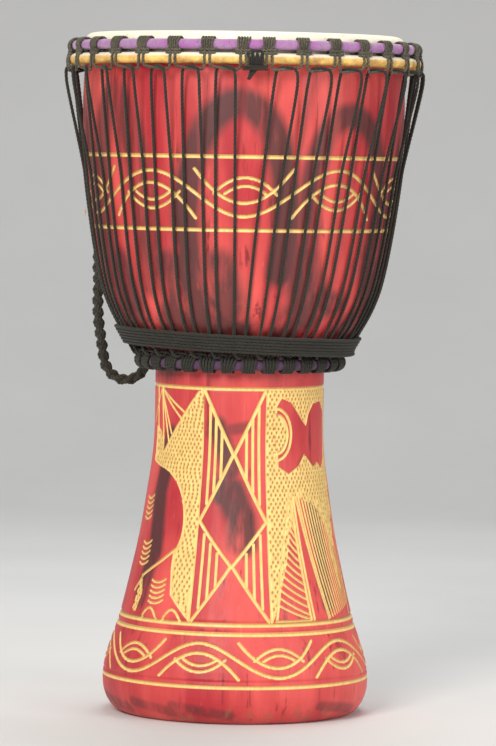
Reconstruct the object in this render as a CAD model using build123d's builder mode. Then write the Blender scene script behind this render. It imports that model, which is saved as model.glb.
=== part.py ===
"""Goblet hand drum: a one-piece carved wooden shell with a goat skin head.

The skin is folded round a steel flesh ring and held down by a cloth-wrapped crown ring.
One cradle rope is hitched round the crown ring, another round the lower ring, and a long
tension rope is laced between them.  A braided rope handle hangs at the drum's left.

Millimetres, +Z up.  The origin is the centre of the ring that the foot stands on.
Angles round the drum are degrees from the front (-Y) towards the right (+X).
"""

from build123d import *
from math import asin, cos, degrees, hypot, radians, sin, sqrt, tan
import os

os.makedirs("parts", exist_ok=True)

# ---- driving dimensions --------------------------------------------------------------

HEAD_HEIGHT = 610.0  # floor to the playing surface
HEAD_RADIUS = 143.5  # outside of the wood at the rim
BOWL_BULGE = 1.4  # how far the bowl swells past the rim
LOWER_RING_HEIGHT = 317.0
NECK_RADIUS = 76.2
NECK_BOTTOM = 262.0
NECK_TOP = 304.0
FOOT_RADIUS = 120.0
FOOT_WIDEST_HEIGHT = 29.0
FLOOR_RADIUS = 101.0  # outer edge of the ring that touches the floor

MOUTH_RADIUS = 90.0
THROAT_RADIUS = 57.0
CHAMBER_WALL = 17.0
EDGE_ROUND = 8.0  # outer rounding of the bearing edge
EDGE_BEVEL = 4.0  # inner bevel of the bearing edge

GROOVE_WIDTH = 3.4
GROOVE_DEPTH = 1.5
GROOVE_HEIGHTS = (39.0, 82.0, 90.0, 295.0, 437.0, 501.0)

SKIN_THICKNESS = 1.2
FLESH_WIRE = 5.4
FLESH_RING_STANDOFF = 10.5  # outside of the rim to the flesh ring's centreline
FLESH_RING_DROP = 24.0  # playing surface down to the flesh ring's centre
COLLAR_DROP = 5.0  # the rim's straight wall ends this far below the flesh ring
SKIN_LEAVES_WALL = 7.0  # and the skin leaves it this far above
SKIN_EDGE_ANGLE = 75.0  # where the folded skin ends, up over the flesh ring

CROWN_WIRE = 7.4
LOWER_WIRE = 8.0
RING_STANDOFF = 11.8  # neck to the lower ring's centreline
CLOTH_THICKNESS = 1.0

CRADLE_ROPE = 2.8
TENSION_ROPE = 3.2
WRAP_ROPE = 3.4
WRAP_TURNS = 6
WRAP_PITCH = 3.1
HANDLE_ROPE = 10.6
KNOT_LENGTH = 7.0
KNOT_ROUND = 3.0
KNOT_SWING_GAP = 1.2  # left for the knots to tip as the handle swings

CRADLES = 31  # cradles that carry a pair of tension legs
FIRST_HITCH = 7.6  # where the crown lacing starts
CLOSING_GAP = 8.1  # between its last hitch and its first
FIRST_FOOT_TURN = -0.6  # bottom turn nearest the front
CROWN_LOOPS = 4
FOOT_LOOPS = 3
LEG_INSET = 2.3  # a leg stands this many degrees inside its hitch
CRADLE_DROP = 11.0  # flesh ring's centre down to the cradles
CRADLE_TUCK = 2.1  # how far the cradles lie inside their droppers
FOOT_CRADLE_OUT = 6.2  # lower ring's centre out to the lower cradles
FOOT_CRADLE_UP = 9.8

CLOTH_GAP = 0.05  # cloth on its ring, rope on the cloth
SEAT_GAP = 0.1  # skin on the wood, and ties on ropes
TURN_OVERLAP = 0.3  # rope turns pressed together
REST_GAP = 0.35  # between pieces that move apart
LEG_GAP = 0.9  # tension legs over the bulge of the bowl
BEND_ROOM = 1.2  # a hooked rope's arcs cut this far inside its corners

# Shares of the height and of the change of radius along each stretch of the shell.
FOOT_FLARE = ((0.2, 0.744), (0.385, 0.487), (0.575, 0.27), (0.76, 0.115))
BELL_TAPER = ((0.35, 0.68), (0.7, 0.2))
BOWL_SWELL = ((0.122, 0.34), (0.169, 0.517), (0.35, 0.785), (0.593, 0.948))
BULGE_SHARE = 0.87
CHAMBER_SWELL = ((0.09, 0.14), (0.14, 0.4), (0.225, 0.61), (0.36, 0.79), (0.6, 0.93))
LEG_STATIONS = (0.14, 0.175, 0.215, 0.27, 0.36, 0.47, 0.61)

# The handle's route in its own upright plane: (across towards its foot, height).
HANDLE_TOP_ANGLE = -109.9
HANDLE_FOOT_ANGLE = -123.6
HANDLE_TOP_RADIUS = 138.8
HANDLE_FOOT_RADIUS = 102.6
HANDLE_ROUTE = (
    (0.0, 417.0),
    (-0.8, 401.0),
    (0.4, 383.0),
    (-0.5, 365.0),
    (0.7, 348.0),
    (3.2, 333.0),
    (5.0, 321.5),
    (6.8, 310.5),
    (12.0, 301.2),
    (20.9, 295.6),
    (31.4, 295.0),
    (40.4, 300.0),
    (45.6, 307.4),
    (46.4, 313.5),
)

# ---- sizes worked out from them ------------------------------------------------------

RIM_HEIGHT = HEAD_HEIGHT - SKIN_THICKNESS - SEAT_GAP
SHOULDER_HEIGHT = RIM_HEIGHT - EDGE_ROUND
CROWN_PITCH = (360 - CLOSING_GAP) / CRADLES
FOOT_PITCH = 360 / CRADLES

skin_outside = HEAD_RADIUS + SEAT_GAP + SKIN_THICKNESS
flesh_height = HEAD_HEIGHT - FLESH_RING_DROP
flesh_ring_radius = HEAD_RADIUS + FLESH_RING_STANDOFF
roll_radius = FLESH_WIRE / 2 + SEAT_GAP + SKIN_THICKNESS

crown_cloth_radius = CROWN_WIRE / 2 + CLOTH_GAP + CLOTH_THICKNESS
crown_loop_radius = crown_cloth_radius + CLOTH_GAP + CRADLE_ROPE / 2
crown_loop_outside = crown_loop_radius + CRADLE_ROPE / 2
crown_ring_radius = skin_outside + REST_GAP + crown_loop_outside
crown_from_roll = roll_radius + REST_GAP + crown_loop_outside
crown_height = flesh_height + sqrt(
    crown_from_roll**2 - (flesh_ring_radius - crown_ring_radius) ** 2
)

lower_ring_radius = NECK_RADIUS + RING_STANDOFF
foot_cloth_radius = LOWER_WIRE / 2 + CLOTH_GAP + CLOTH_THICKNESS
foot_loop_radius = foot_cloth_radius + CLOTH_GAP + CRADLE_ROPE / 2
foot_loop_outside = foot_loop_radius + CRADLE_ROPE / 2

hook = (CRADLE_ROPE + TENSION_ROPE) / 2 + REST_GAP  # between centres of hooked ropes
dropper_radius = flesh_ring_radius + roll_radius + REST_GAP + CRADLE_ROPE / 2
cradle_radius = dropper_radius - CRADLE_TUCK
cradle_height = flesh_height - CRADLE_DROP
foot_cradle_radius = lower_ring_radius + FOOT_CRADLE_OUT
foot_cradle_height = LOWER_RING_HEIGHT + FOOT_CRADLE_UP
foot_turn_height = foot_cradle_height - hook - 0.5


def around(radius, height, angle):
    """The point at this radius and height, this many degrees from the front."""
    return Vector(radius * sin(radians(angle)), -radius * cos(radians(angle)), height)


def facing(radius, height, angle):
    """A plane at that point, with x to the right, y up and z outward."""
    outward = around(1, 0, angle)
    return Plane(around(radius, height, angle), x_dir=(-outward.Y, outward.X, 0), z_dir=outward)


def corner_radii(points):
    """Arcs as large as the runs on both sides of each corner leave room for."""
    radii = []
    for before, corner, after in zip(points, points[1:], points[2:]):
        turn = radians((corner - before).get_angle(after - corner))
        run = min((corner - before).length, (after - corner).length)
        radii.append(0.45 * run / tan(turn / 2))
    return radii


def rope(points, diameter):
    """A round rope along straight runs joined by tangent arcs."""
    with BuildPart() as strand:
        with BuildLine() as route:
            FilletPolyline(*points, radius=corner_radii(points))
        with BuildSketch(Plane(route.line @ 0, z_dir=route.line % 0)):
            Circle(diameter / 2)
        sweep()
    return strand.part


def hoop(ring_radius, ring_height, outside, inside=0.0):
    """A round bar, or a tube, bent to a ring about the drum's axis."""
    with BuildPart() as ring:
        with BuildSketch(Plane.XZ):
            with Locations((ring_radius, ring_height)):
                Circle(outside)
                if inside:
                    Circle(inside, mode=Mode.SUBTRACT)
        revolve(axis=Axis.Z)
    return ring.part


def rope_loops(ring_radius, ring_height, loop_radius, count):
    """Rope turns side by side round a ring, at the front: rounds turned about its bar."""
    bar_axis = Axis(around(ring_radius, ring_height, 0), (1, 0, 0))
    with BuildPart() as turns:
        with BuildSketch(Plane.XZ.offset(ring_radius)):
            with Locations((0, ring_height + loop_radius)):
                with GridLocations(CRADLE_ROPE - TURN_OVERLAP, 1, count, 1):
                    Circle(CRADLE_ROPE / 2)
        revolve(axis=bar_axis)
    return turns.part


# ---- shell ---------------------------------------------------------------------------


def between(low, high, shares):
    """Points along a stretch of the shell, from (radius, height) low to high."""
    (low_radius, low_height), (high_radius, high_height) = low, high
    return [
        (
            low_radius + share * (high_radius - low_radius),
            low_height + up * (high_height - low_height),
        )
        for up, share in shares
    ]


foot_corner = (FOOT_RADIUS, FOOT_WIDEST_HEIGHT)
neck_bottom = (NECK_RADIUS, NECK_BOTTOM)
neck_top = (NECK_RADIUS, NECK_TOP)
shoulder = (HEAD_RADIUS, SHOULDER_HEIGHT)
collar = (HEAD_RADIUS, flesh_height - COLLAR_DROP)
flare = between(foot_corner, neck_bottom, [(up, 1 - share) for up, share in FOOT_FLARE])
under_lacing = [
    (lower_ring_radius - foot_loop_outside - 0.8, LOWER_RING_HEIGHT + 2.5),
    (foot_cradle_radius - hook - BEND_ROOM - 2.4, foot_cradle_height + 3.2),
]
bowl_height = SHOULDER_HEIGHT - NECK_TOP
bulge = (HEAD_RADIUS + BOWL_BULGE, NECK_TOP + BULGE_SHARE * (collar[1] - NECK_TOP))

# The outline is drawn flat: x is the radius and y is the height.
with BuildLine() as outline:
    EllipticalCenterArc(
        (FLOOR_RADIUS, FOOT_WIDEST_HEIGHT),
        FOOT_RADIUS - FLOOR_RADIUS,
        FOOT_WIDEST_HEIGHT,
        start_angle=270,
        arc_size=90,
    )
    Spline(foot_corner, *flare, neck_bottom, tangents=((0, 1), (0, 1)))
    Line(neck_bottom, neck_top)
    Spline(
        neck_top,
        *under_lacing,
        *between(neck_top, shoulder, BOWL_SWELL),
        bulge,
        collar,
    )
    Line(collar, shoulder)

outer_wire = Wire(outline.line.edges())


def off_shell(height, distance=0.0):
    """(radius, height) this far out from the shell's surface at this height."""
    low, high = 0.0, 1.0
    for _ in range(40):
        middle = (low + high) / 2
        if (outer_wire @ middle).Y < height:
            low = middle
        else:
            high = middle
    point, along = outer_wire @ low, outer_wire % low
    return point.X + distance * along.Y, point.Y - distance * along.X


rim_edge = (HEAD_RADIUS - EDGE_ROUND, RIM_HEIGHT)
chamber_top = (HEAD_RADIUS - CHAMBER_WALL, RIM_HEIGHT - EDGE_BEVEL)
mouth = (MOUTH_RADIUS, 0)
throat_bottom = (THROAT_RADIUS, NECK_BOTTOM)
throat_top = (THROAT_RADIUS, NECK_TOP)
bell = between(throat_bottom, mouth, [(1 - up, share) for up, share in BELL_TAPER])
chamber = between(throat_top, chamber_top, CHAMBER_SWELL)

with BuildPart() as shell:
    with BuildSketch(Plane.XZ):
        with BuildLine():
            add(outline.line)
            JernArc(shoulder, (0, 1), EDGE_ROUND, 90)
            Polyline(rim_edge, (chamber_top[0] + EDGE_BEVEL, RIM_HEIGHT), chamber_top)
            Spline(chamber_top, *reversed(chamber), throat_top)
            Line(throat_top, throat_bottom)
            Spline(throat_bottom, *bell, mouth)
            Line(mouth, (FLOOR_RADIUS, 0))
        make_face()
    revolve(axis=Axis.Z)
    for height in GROOVE_HEIGHTS:
        with BuildSketch(Plane.XZ):
            cut = off_shell(height, -GROOVE_DEPTH)
            side = GROOVE_WIDTH / 2
            upper = off_shell(height + side, SEAT_GAP)
            lower = off_shell(height - side, SEAT_GAP)
            with BuildLine():
                Polyline(cut, upper, lower, close=True)
            make_face()
        revolve(axis=Axis.Z, mode=Mode.SUBTRACT)

shell.part.label = "shell"
export_step(shell.part, "parts/shell.step")

# ---- goat skin: over the bearing edge, down the wall, out and round the flesh ring ----

membrane_height = HEAD_HEIGHT - SKIN_THICKNESS / 2
wall_radius = HEAD_RADIUS + SEAT_GAP + SKIN_THICKNESS / 2
skin_round = EDGE_ROUND + SEAT_GAP + SKIN_THICKNESS / 2
fold_radius = roll_radius - SKIN_THICKNESS / 2
skin_leaves_wall = flesh_height + SKIN_LEAVES_WALL
across = flesh_ring_radius - wall_radius
drop = skin_leaves_wall - flesh_height
slope = degrees(asin(fold_radius / hypot(across, drop)) + asin(drop / hypot(across, drop)))
fold_start = 270 - slope

with BuildPart() as drum_skin:
    with BuildSketch(Plane.XZ):
        with BuildLine():
            Line((0, membrane_height), (wall_radius - skin_round, membrane_height))
            JernArc((wall_radius - skin_round, membrane_height), (1, 0), skin_round, -90)
            Line((wall_radius, membrane_height - skin_round), (wall_radius, skin_leaves_wall))
            fold = CenterArc(
                (flesh_ring_radius, flesh_height),
                fold_radius,
                fold_start,
                360 + SKIN_EDGE_ANGLE - fold_start,
            )
            Line((wall_radius, skin_leaves_wall), fold @ 0)
        trace(line_width=SKIN_THICKNESS)
    revolve(axis=Axis.Z)

drum_skin.part.label = "drum_skin"
export_step(drum_skin.part, "parts/drum_skin.step")

# ---- steel rings and their cloth -----------------------------------------------------

with BuildPart() as flesh_ring:
    add(hoop(flesh_ring_radius, flesh_height, FLESH_WIRE / 2))
flesh_ring.part.label = "flesh_ring"
export_step(flesh_ring.part, "parts/flesh_ring.step")

with BuildPart() as crown_ring:
    add(hoop(crown_ring_radius, crown_height, CROWN_WIRE / 2))
crown_ring.part.label = "crown_ring"
export_step(crown_ring.part, "parts/crown_ring.step")

with BuildPart() as crown_ring_cloth:
    inside = CROWN_WIRE / 2 + CLOTH_GAP
    add(hoop(crown_ring_radius, crown_height, crown_cloth_radius, inside))
crown_ring_cloth.part.label = "crown_ring_cloth"
export_step(crown_ring_cloth.part, "parts/crown_ring_cloth.step")

with BuildPart() as lower_ring:
    add(hoop(lower_ring_radius, LOWER_RING_HEIGHT, LOWER_WIRE / 2))
lower_ring.part.label = "lower_ring"
export_step(lower_ring.part, "parts/lower_ring.step")

with BuildPart() as lower_ring_cloth:
    inside = LOWER_WIRE / 2 + CLOTH_GAP
    add(hoop(lower_ring_radius, LOWER_RING_HEIGHT, foot_cloth_radius, inside))
lower_ring_cloth.part.label = "lower_ring_cloth"
export_step(lower_ring_cloth.part, "parts/lower_ring_cloth.step")

# ---- upper cradle rope: a hitch and a hanging cradle at every step --------------------

BAR_HEIGHT = 4.4
BAR_LENGTH = 13.0
BAR_DROP = 6.0  # crown ring's centre down to the hitch's bar
bar_radius = crown_ring_radius + sqrt((crown_loop_radius + 1.8) ** 2 - BAR_DROP**2)
bar_height = crown_height - BAR_DROP

with BuildPart() as hitch:
    add(rope_loops(crown_ring_radius, crown_height, crown_loop_radius, CROWN_LOOPS))
    with Locations(Plane(around(bar_radius, bar_height, 0), x_dir=(0, 0, 1), z_dir=(1, 0, 0))):
        Cylinder(BAR_HEIGHT / 2, BAR_LENGTH)


def cradle(start, end, sag_radius, sag_height, reach):
    """Points of a cradle between two hitches: down one dropper, along and up the other."""
    dropper = 0.55
    foot = flesh_height - roll_radius
    half = [
        (bar_radius, bar_height, dropper),
        (dropper_radius, flesh_height + 1.5, dropper),
        (dropper_radius, foot, dropper + 0.1),
        (sag_radius, sag_height, reach),
    ]
    return [
        *(around(radius, height, start + aside) for radius, height, aside in half),
        *(around(radius, height, end - aside) for radius, height, aside in reversed(half)),
    ]


last_hitch = FIRST_HITCH + CRADLES * CROWN_PITCH
closing_radius = cradle_radius + 1.0
closing_height = cradle_height + 3.0

hitch_angles = [FIRST_HITCH + step * CROWN_PITCH for step in range(CRADLES + 1)]
hitches = [hitch.part.rotate(Axis.Z, angle) for angle in hitch_angles]
cradles = [
    rope(cradle(start, end, cradle_radius, cradle_height, LEG_INSET), CRADLE_ROPE)
    for start, end in zip(hitch_angles, hitch_angles[1:])
]
closing = cradle(last_hitch, FIRST_HITCH + 360, closing_radius, closing_height, 1.6)

with BuildPart() as upper_cradle_rope:
    add([*hitches, *cradles, rope(closing, CRADLE_ROPE)])

upper_cradle_rope.part.label = "upper_cradle_rope"
export_step(upper_cradle_rope.part, "parts/upper_cradle_rope.step")

# ---- lower cradle rope: hitches on the lower ring, cradles standing up between them ---


def foot_cradle(hitch_angle):
    """Points of the cradle from this lower hitch to the next."""
    half = [
        (lower_ring_radius + 2.0, LOWER_RING_HEIGHT + foot_loop_radius - 0.4, 0.4),
        (lower_ring_radius + 3.6, foot_cradle_height - 2.0, 0.75),
        (foot_cradle_radius, foot_cradle_height, 1.7),
    ]
    far = hitch_angle + FOOT_PITCH
    return [
        *(around(radius, height, hitch_angle + aside) for radius, height, aside in half),
        *(around(radius, height, far - aside) for radius, height, aside in reversed(half)),
    ]


lower_hitch = rope_loops(lower_ring_radius, LOWER_RING_HEIGHT, foot_loop_radius, FOOT_LOOPS)
foot_angles = [FIRST_FOOT_TURN + (step + 0.5) * FOOT_PITCH for step in range(CRADLES)]

with BuildPart() as lower_cradle_rope:
    add([lower_hitch.rotate(Axis.Z, angle) for angle in foot_angles])
    add([rope(foot_cradle(angle), CRADLE_ROPE) for angle in foot_angles])

lower_cradle_rope.part.label = "lower_cradle_rope"
export_step(lower_cradle_rope.part, "parts/lower_cradle_rope.step")

# ---- tension rope: up behind a cradle, over it, down in front, under a lower cradle ---

TURN_SLANT = 41.0  # degrees that a bottom turn crosses under its cradle
TURN_REACH = 2.4
top_turn_height = cradle_height + hook + BEND_ROOM / 3
leg_bottom = foot_cradle_height + 1.5
leg_top = cradle_height - 2
leg_outside = foot_cradle_radius + hook + BEND_ROOM


def leaning(height, bottom_angle, top_angle):
    """Where a leg that runs between these angles stands at this height."""
    share = (height - leg_bottom) / (leg_top - leg_bottom)
    return bottom_angle + share * (top_angle - bottom_angle)


def lacing(step):
    """Points of the tension rope from one bottom turn, over a cradle, to the next turn."""
    foot = FIRST_FOOT_TURN + step * FOOT_PITCH
    next_foot = foot + FOOT_PITCH
    up_top = FIRST_HITCH + step * CROWN_PITCH + LEG_INSET
    down_top = up_top + CROWN_PITCH - 2 * LEG_INSET
    leg_foot = LEG_INSET + 0.1

    def leg(bottom_angle, top_angle):
        points = []
        for share in LEG_STATIONS:
            radius, height = off_shell(NECK_TOP + share * bowl_height, TENSION_ROPE / 2 + LEG_GAP)
            points.append(around(radius, height, leaning(height, bottom_angle, top_angle)))
        return points

    def under(angle, side):
        """The bottom turn's middle, and the point after or before it on its slant."""
        seat = facing(foot_cradle_radius, foot_turn_height, angle)
        slant = seat.x_dir * cos(radians(TURN_SLANT)) - seat.z_dir * sin(radians(TURN_SLANT))
        return seat.origin + slant * side * TURN_REACH

    inside = cradle_radius - hook - BEND_ROOM / 2
    outside = cradle_radius + hook + BEND_ROOM
    return [
        under(foot, 0),
        under(foot, 1),
        around(foot_cradle_radius - hook - BEND_ROOM, leg_bottom, foot + leg_foot),
        *leg(foot + leg_foot, up_top),
        around(inside, leg_top, up_top),
        around(inside + 1.0, top_turn_height, up_top + 1.1),
        around(outside - 1.0, top_turn_height, down_top - 1.1),
        around(outside, leg_top, down_top),
        around(outside - 3.5, leg_top - 15, down_top - 0.1),
        *reversed(leg(next_foot - leg_foot, down_top)),
        around(leg_outside, leg_bottom, next_foot - leg_foot),
        under(next_foot, -1),
        under(next_foot, 0),
    ]


with BuildPart() as tension_rope:
    add([rope(lacing(step), TENSION_ROPE) for step in range(CRADLES)])

tension_rope.part.label = "tension_rope"
export_step(tension_rope.part, "parts/tension_rope.step")

# ---- waist wrap: turns of rope round the gathered legs -------------------------------

first_station = off_shell(NECK_TOP + LEG_STATIONS[0] * bowl_height, TENSION_ROPE / 2 + LEG_GAP)
leg_start = Vector(leg_outside, leg_bottom)
along_leg = (Vector(*first_station) - leg_start).normalized()
off_leg = Vector(along_leg.Y, -along_leg.X) * (TENSION_ROPE / 2 + REST_GAP + WRAP_ROPE / 2)

with BuildPart() as waist_wrap_rope:
    with BuildSketch(Plane.XZ):
        for turn in range(WRAP_TURNS):
            with Locations(leg_start + off_leg + along_leg * turn * WRAP_PITCH):
                Circle(WRAP_ROPE / 2)
    revolve(axis=Axis.Z)

waist_wrap_rope.part.label = "waist_wrap_rope"
export_step(waist_wrap_rope.part, "parts/waist_wrap_rope.step")

# ---- tie over the crown lacing's closing gap -----------------------------------------

TIE_WIDTH = 12.6
TIE_THICKNESS = 2.4
TAIL_LENGTH = 12.0
TAIL_THICKNESS = 1.4
tie_angle = last_hitch - 360 + CLOSING_GAP / 2
tie_inside = flesh_ring_radius + roll_radius + REST_GAP
tie_top = bar_height - BAR_HEIGHT / 2 - REST_GAP
tail_top = flesh_height - roll_radius - REST_GAP
tail_inside = closing_radius - CRADLE_ROPE / 2 - REST_GAP - TAIL_THICKNESS
tie_plane = facing(0, 0, tie_angle)

with BuildPart() as cradle_tie:
    with BuildSketch(Plane(tie_plane.origin, x_dir=tie_plane.z_dir, z_dir=-tie_plane.x_dir)):
        with BuildLine():
            Polyline(
                (tie_inside, tie_top),
                (tie_inside + TIE_THICKNESS, tie_top),
                (tie_inside + TIE_THICKNESS, tail_top - TAIL_THICKNESS),
                (tail_inside + TAIL_THICKNESS, tail_top - TAIL_THICKNESS),
                (tail_inside + TAIL_THICKNESS, tail_top - TAIL_LENGTH),
                (tail_inside, tail_top - TAIL_LENGTH),
                (tail_inside, tail_top),
                (tie_inside, tail_top),
                close=True,
            )
        make_face()
    extrude(amount=TIE_WIDTH / 2, both=True)
    with BuildSketch(tie_plane.offset(tie_inside - 20)):
        for side in (-1, 1):
            with BuildLine():
                Polyline(
                    (side * TIE_WIDTH, tail_top - TAIL_THICKNESS),
                    (side * TIE_WIDTH / 2, tail_top - TAIL_THICKNESS),
                    (side * 1.5, tail_top - TAIL_LENGTH),
                    (side * 1.5, tail_top - 2 * TAIL_LENGTH),
                    (side * TIE_WIDTH, tail_top - 2 * TAIL_LENGTH),
                    close=True,
                )
            make_face()
    extrude(amount=40, mode=Mode.SUBTRACT)

cradle_tie.part.label = "cradle_tie"
export_step(cradle_tie.part, "parts/cradle_tie.step")

# ---- handle: braided rope hanging between two knots, and the ties that hold it -------

handle_top_height = HANDLE_ROUTE[0][1]
handle_top = around(HANDLE_TOP_RADIUS, handle_top_height, HANDLE_TOP_ANGLE)
handle_foot = around(HANDLE_FOOT_RADIUS, HANDLE_ROUTE[-1][1], HANDLE_FOOT_ANGLE)
across_handle = handle_foot - handle_top
handle_span = hypot(across_handle.X, across_handle.Y)
step_across = Vector(across_handle.X, across_handle.Y) / handle_span
route_span = HANDLE_ROUTE[-1][0]
handle_points = [
    Vector(handle_top.X, handle_top.Y, height) + step_across * (over * handle_span / route_span)
    for over, height in HANDLE_ROUTE
]
print("handle bend radii", [round(radius, 1) for radius in corner_radii(handle_points)])

with BuildPart() as handle_rope:
    add(rope(handle_points, HANDLE_ROPE))
handle_rope.part.label = "handle_rope"
export_step(handle_rope.part, "parts/handle_rope.step")

with BuildPart() as handle_knots:
    for end, inward in (
        (handle_points[0], handle_points[0] - handle_points[1]),
        (handle_points[-1], handle_points[-1] - handle_points[-2]),
    ):
        with BuildSketch(Plane(end, z_dir=inward)):
            Circle(HANDLE_ROPE / 2)
        extrude(amount=KNOT_LENGTH)
        fillet(faces(Select.LAST).sort_by(Axis(end, inward))[-1].edges(), KNOT_ROUND)

handle_knots.part.label = "handle_knots"
export_step(handle_knots.part, "parts/handle_knots.step")

# ---- ties that hold the handle's knots to the lacing ---------------------------------

TIE_LENGTH = 20.0
over_knot = KNOT_LENGTH + KNOT_SWING_GAP + CRADLE_ROPE / 2
over_legs = LEG_GAP + TENSION_ROPE + SEAT_GAP + CRADLE_ROPE / 2
over_foot_turns = hook - BEND_ROOM + TENSION_ROPE / 2 + SEAT_GAP + CRADLE_ROPE / 2
upper_tie = handle_top.Z + over_knot
second_turn = upper_tie + CRADLE_ROPE - TURN_OVERLAP

with BuildPart() as handle_ties:
    for radius, height, angle in (
        (off_shell(upper_tie, over_legs)[0], upper_tie, HANDLE_TOP_ANGLE),
        (off_shell(second_turn, over_legs)[0], second_turn, HANDLE_TOP_ANGLE),
        (foot_cradle_radius + over_foot_turns, handle_foot.Z + over_knot, HANDLE_FOOT_ANGLE),
    ):
        seat = facing(radius, height, angle)
        with Locations(Plane(seat.origin, x_dir=seat.z_dir, z_dir=seat.x_dir)):
            Cylinder(CRADLE_ROPE / 2, TIE_LENGTH)

handle_ties.part.label = "handle_ties"
export_step(handle_ties.part, "parts/handle_ties.step")

# ---- small pale thread knot on one tension leg at the left ---------------------------

THREAD_KNOT_RADIUS = 2.2
THREAD_KNOT_HEIGHT = 451.0
THREAD_KNOT_STEP = 24  # the leg before this turn's middle
leg_foot_angle = FIRST_FOOT_TURN + THREAD_KNOT_STEP * FOOT_PITCH - LEG_INSET
leg_top_angle = FIRST_HITCH + THREAD_KNOT_STEP * CROWN_PITCH - LEG_INSET
knot_out = LEG_GAP + TENSION_ROPE + SEAT_GAP + THREAD_KNOT_RADIUS
knot_radius, knot_height = off_shell(THREAD_KNOT_HEIGHT, knot_out)
knot_angle = leaning(knot_height, leg_foot_angle, leg_top_angle)

with BuildPart() as thread_knot:
    with Locations(around(knot_radius, knot_height, knot_angle)):
        Sphere(THREAD_KNOT_RADIUS)

thread_knot.part.label = "thread_knot"
export_step(thread_knot.part, "parts/thread_knot.step")
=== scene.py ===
"""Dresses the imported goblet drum: carved and stained shell, skin head, cloth-wrapped rings,
twisted lacing, braided handle, and a plain studio stage.

Angles round the drum are degrees from the front (-Y) towards the right (+X).
"""

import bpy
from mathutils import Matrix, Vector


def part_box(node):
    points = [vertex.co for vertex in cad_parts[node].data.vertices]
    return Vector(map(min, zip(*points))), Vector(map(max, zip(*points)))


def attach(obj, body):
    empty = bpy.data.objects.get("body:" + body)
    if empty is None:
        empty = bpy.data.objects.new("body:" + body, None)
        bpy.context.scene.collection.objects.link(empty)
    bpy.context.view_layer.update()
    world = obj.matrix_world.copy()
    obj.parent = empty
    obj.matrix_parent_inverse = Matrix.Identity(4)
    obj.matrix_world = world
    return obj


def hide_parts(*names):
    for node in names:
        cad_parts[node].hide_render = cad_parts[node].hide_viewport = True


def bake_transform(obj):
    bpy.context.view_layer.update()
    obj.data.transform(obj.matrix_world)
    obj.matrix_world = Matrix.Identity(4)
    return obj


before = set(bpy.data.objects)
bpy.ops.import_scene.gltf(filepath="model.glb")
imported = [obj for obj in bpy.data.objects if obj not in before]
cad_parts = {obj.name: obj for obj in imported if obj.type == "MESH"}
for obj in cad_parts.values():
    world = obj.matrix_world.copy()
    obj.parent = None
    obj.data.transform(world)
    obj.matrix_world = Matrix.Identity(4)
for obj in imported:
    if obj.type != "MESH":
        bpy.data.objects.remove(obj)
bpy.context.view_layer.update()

import math

import bmesh
import bpy
import numpy as np
from mathutils import Matrix, Vector

bl_info = {
    "name": "Goblet Drum",
    "version": (1, 0, 0),
    "blender": (4, 5, 0),
    "location": "View3D > Sidebar > Drum",
    "description": "Builds a rope-laced goblet drum on its packed frame",
    "category": "Add Mesh",
}

MM = 0.001

# ---- sizes from the frame ------------------------------------------------------------


def ring_of(node):
    """(ring radius, height, bar radius) of a ring-shaped node."""
    low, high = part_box(node)
    bar = (high.z - low.z) / 2
    return (high.x - low.x) / 2 - bar, (high.z + low.z) / 2, bar


HEAD_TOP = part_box("drum_skin")[1].z
RIM_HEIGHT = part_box("shell")[1].z
CROWN_RADIUS, CROWN_HEIGHT, CROWN_CLOTH = ring_of("crown_ring_cloth")
FLESH_RADIUS, FLESH_HEIGHT, FLESH_WIRE = ring_of("flesh_ring")
LOWER_RADIUS, LOWER_HEIGHT, LOWER_CLOTH = ring_of("lower_ring_cloth")
WRAP_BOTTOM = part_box("waist_wrap_rope")[0].z

SKIN = 1.2 * MM
ROLL = FLESH_WIRE + 0.1 * MM + SKIN  # outside of the folded skin round the flesh ring
CRADLES = 31
CLOSING_GAP = 8.1  # degrees between the crown's last hitch and its first
CROWN_PITCH = (360 - CLOSING_GAP) / CRADLES
FOOT_PITCH = 360 / CRADLES
FIRST_HITCH = 7.6
FIRST_FOOT_TURN = -0.6  # the bottom turn nearest the front
LEG_INSET = 2.3  # a leg stands this many degrees inside its hitch
FREE_BELOW = LOWER_HEIGHT + 35 * MM  # the legs leave the bowl under this height

# ---- what a user may change ----------------------------------------------------------


class DrumSizes(bpy.types.PropertyGroup):
    """Sizes of the dressed drum's cords and cuts."""

    cradle_rope: bpy.props.FloatProperty(
        name="Cradle rope", description="Diameter of the cradle rope",
        default=2.8 * MM, unit="LENGTH",
    )
    tension_rope: bpy.props.FloatProperty(
        name="Tension rope", description="Diameter of the lacing",
        default=3.2 * MM, unit="LENGTH",
    )
    wrap_rope: bpy.props.FloatProperty(
        name="Waist wrap", description="Diameter of the rope round the gathered legs",
        default=3.4 * MM, unit="LENGTH",
    )
    handle_rope: bpy.props.FloatProperty(
        name="Handle rope", description="Diameter of the braided handle",
        default=10.6 * MM, unit="LENGTH",
    )
    groove: bpy.props.FloatProperty(
        name="Groove width", description="Width of the carver's V cuts",
        default=3.0 * MM, unit="LENGTH",
    )
    groove_depth: bpy.props.FloatProperty(
        name="Groove depth", description="Depth of the carver's V cuts",
        default=1.2 * MM, unit="LENGTH",
    )


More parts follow.
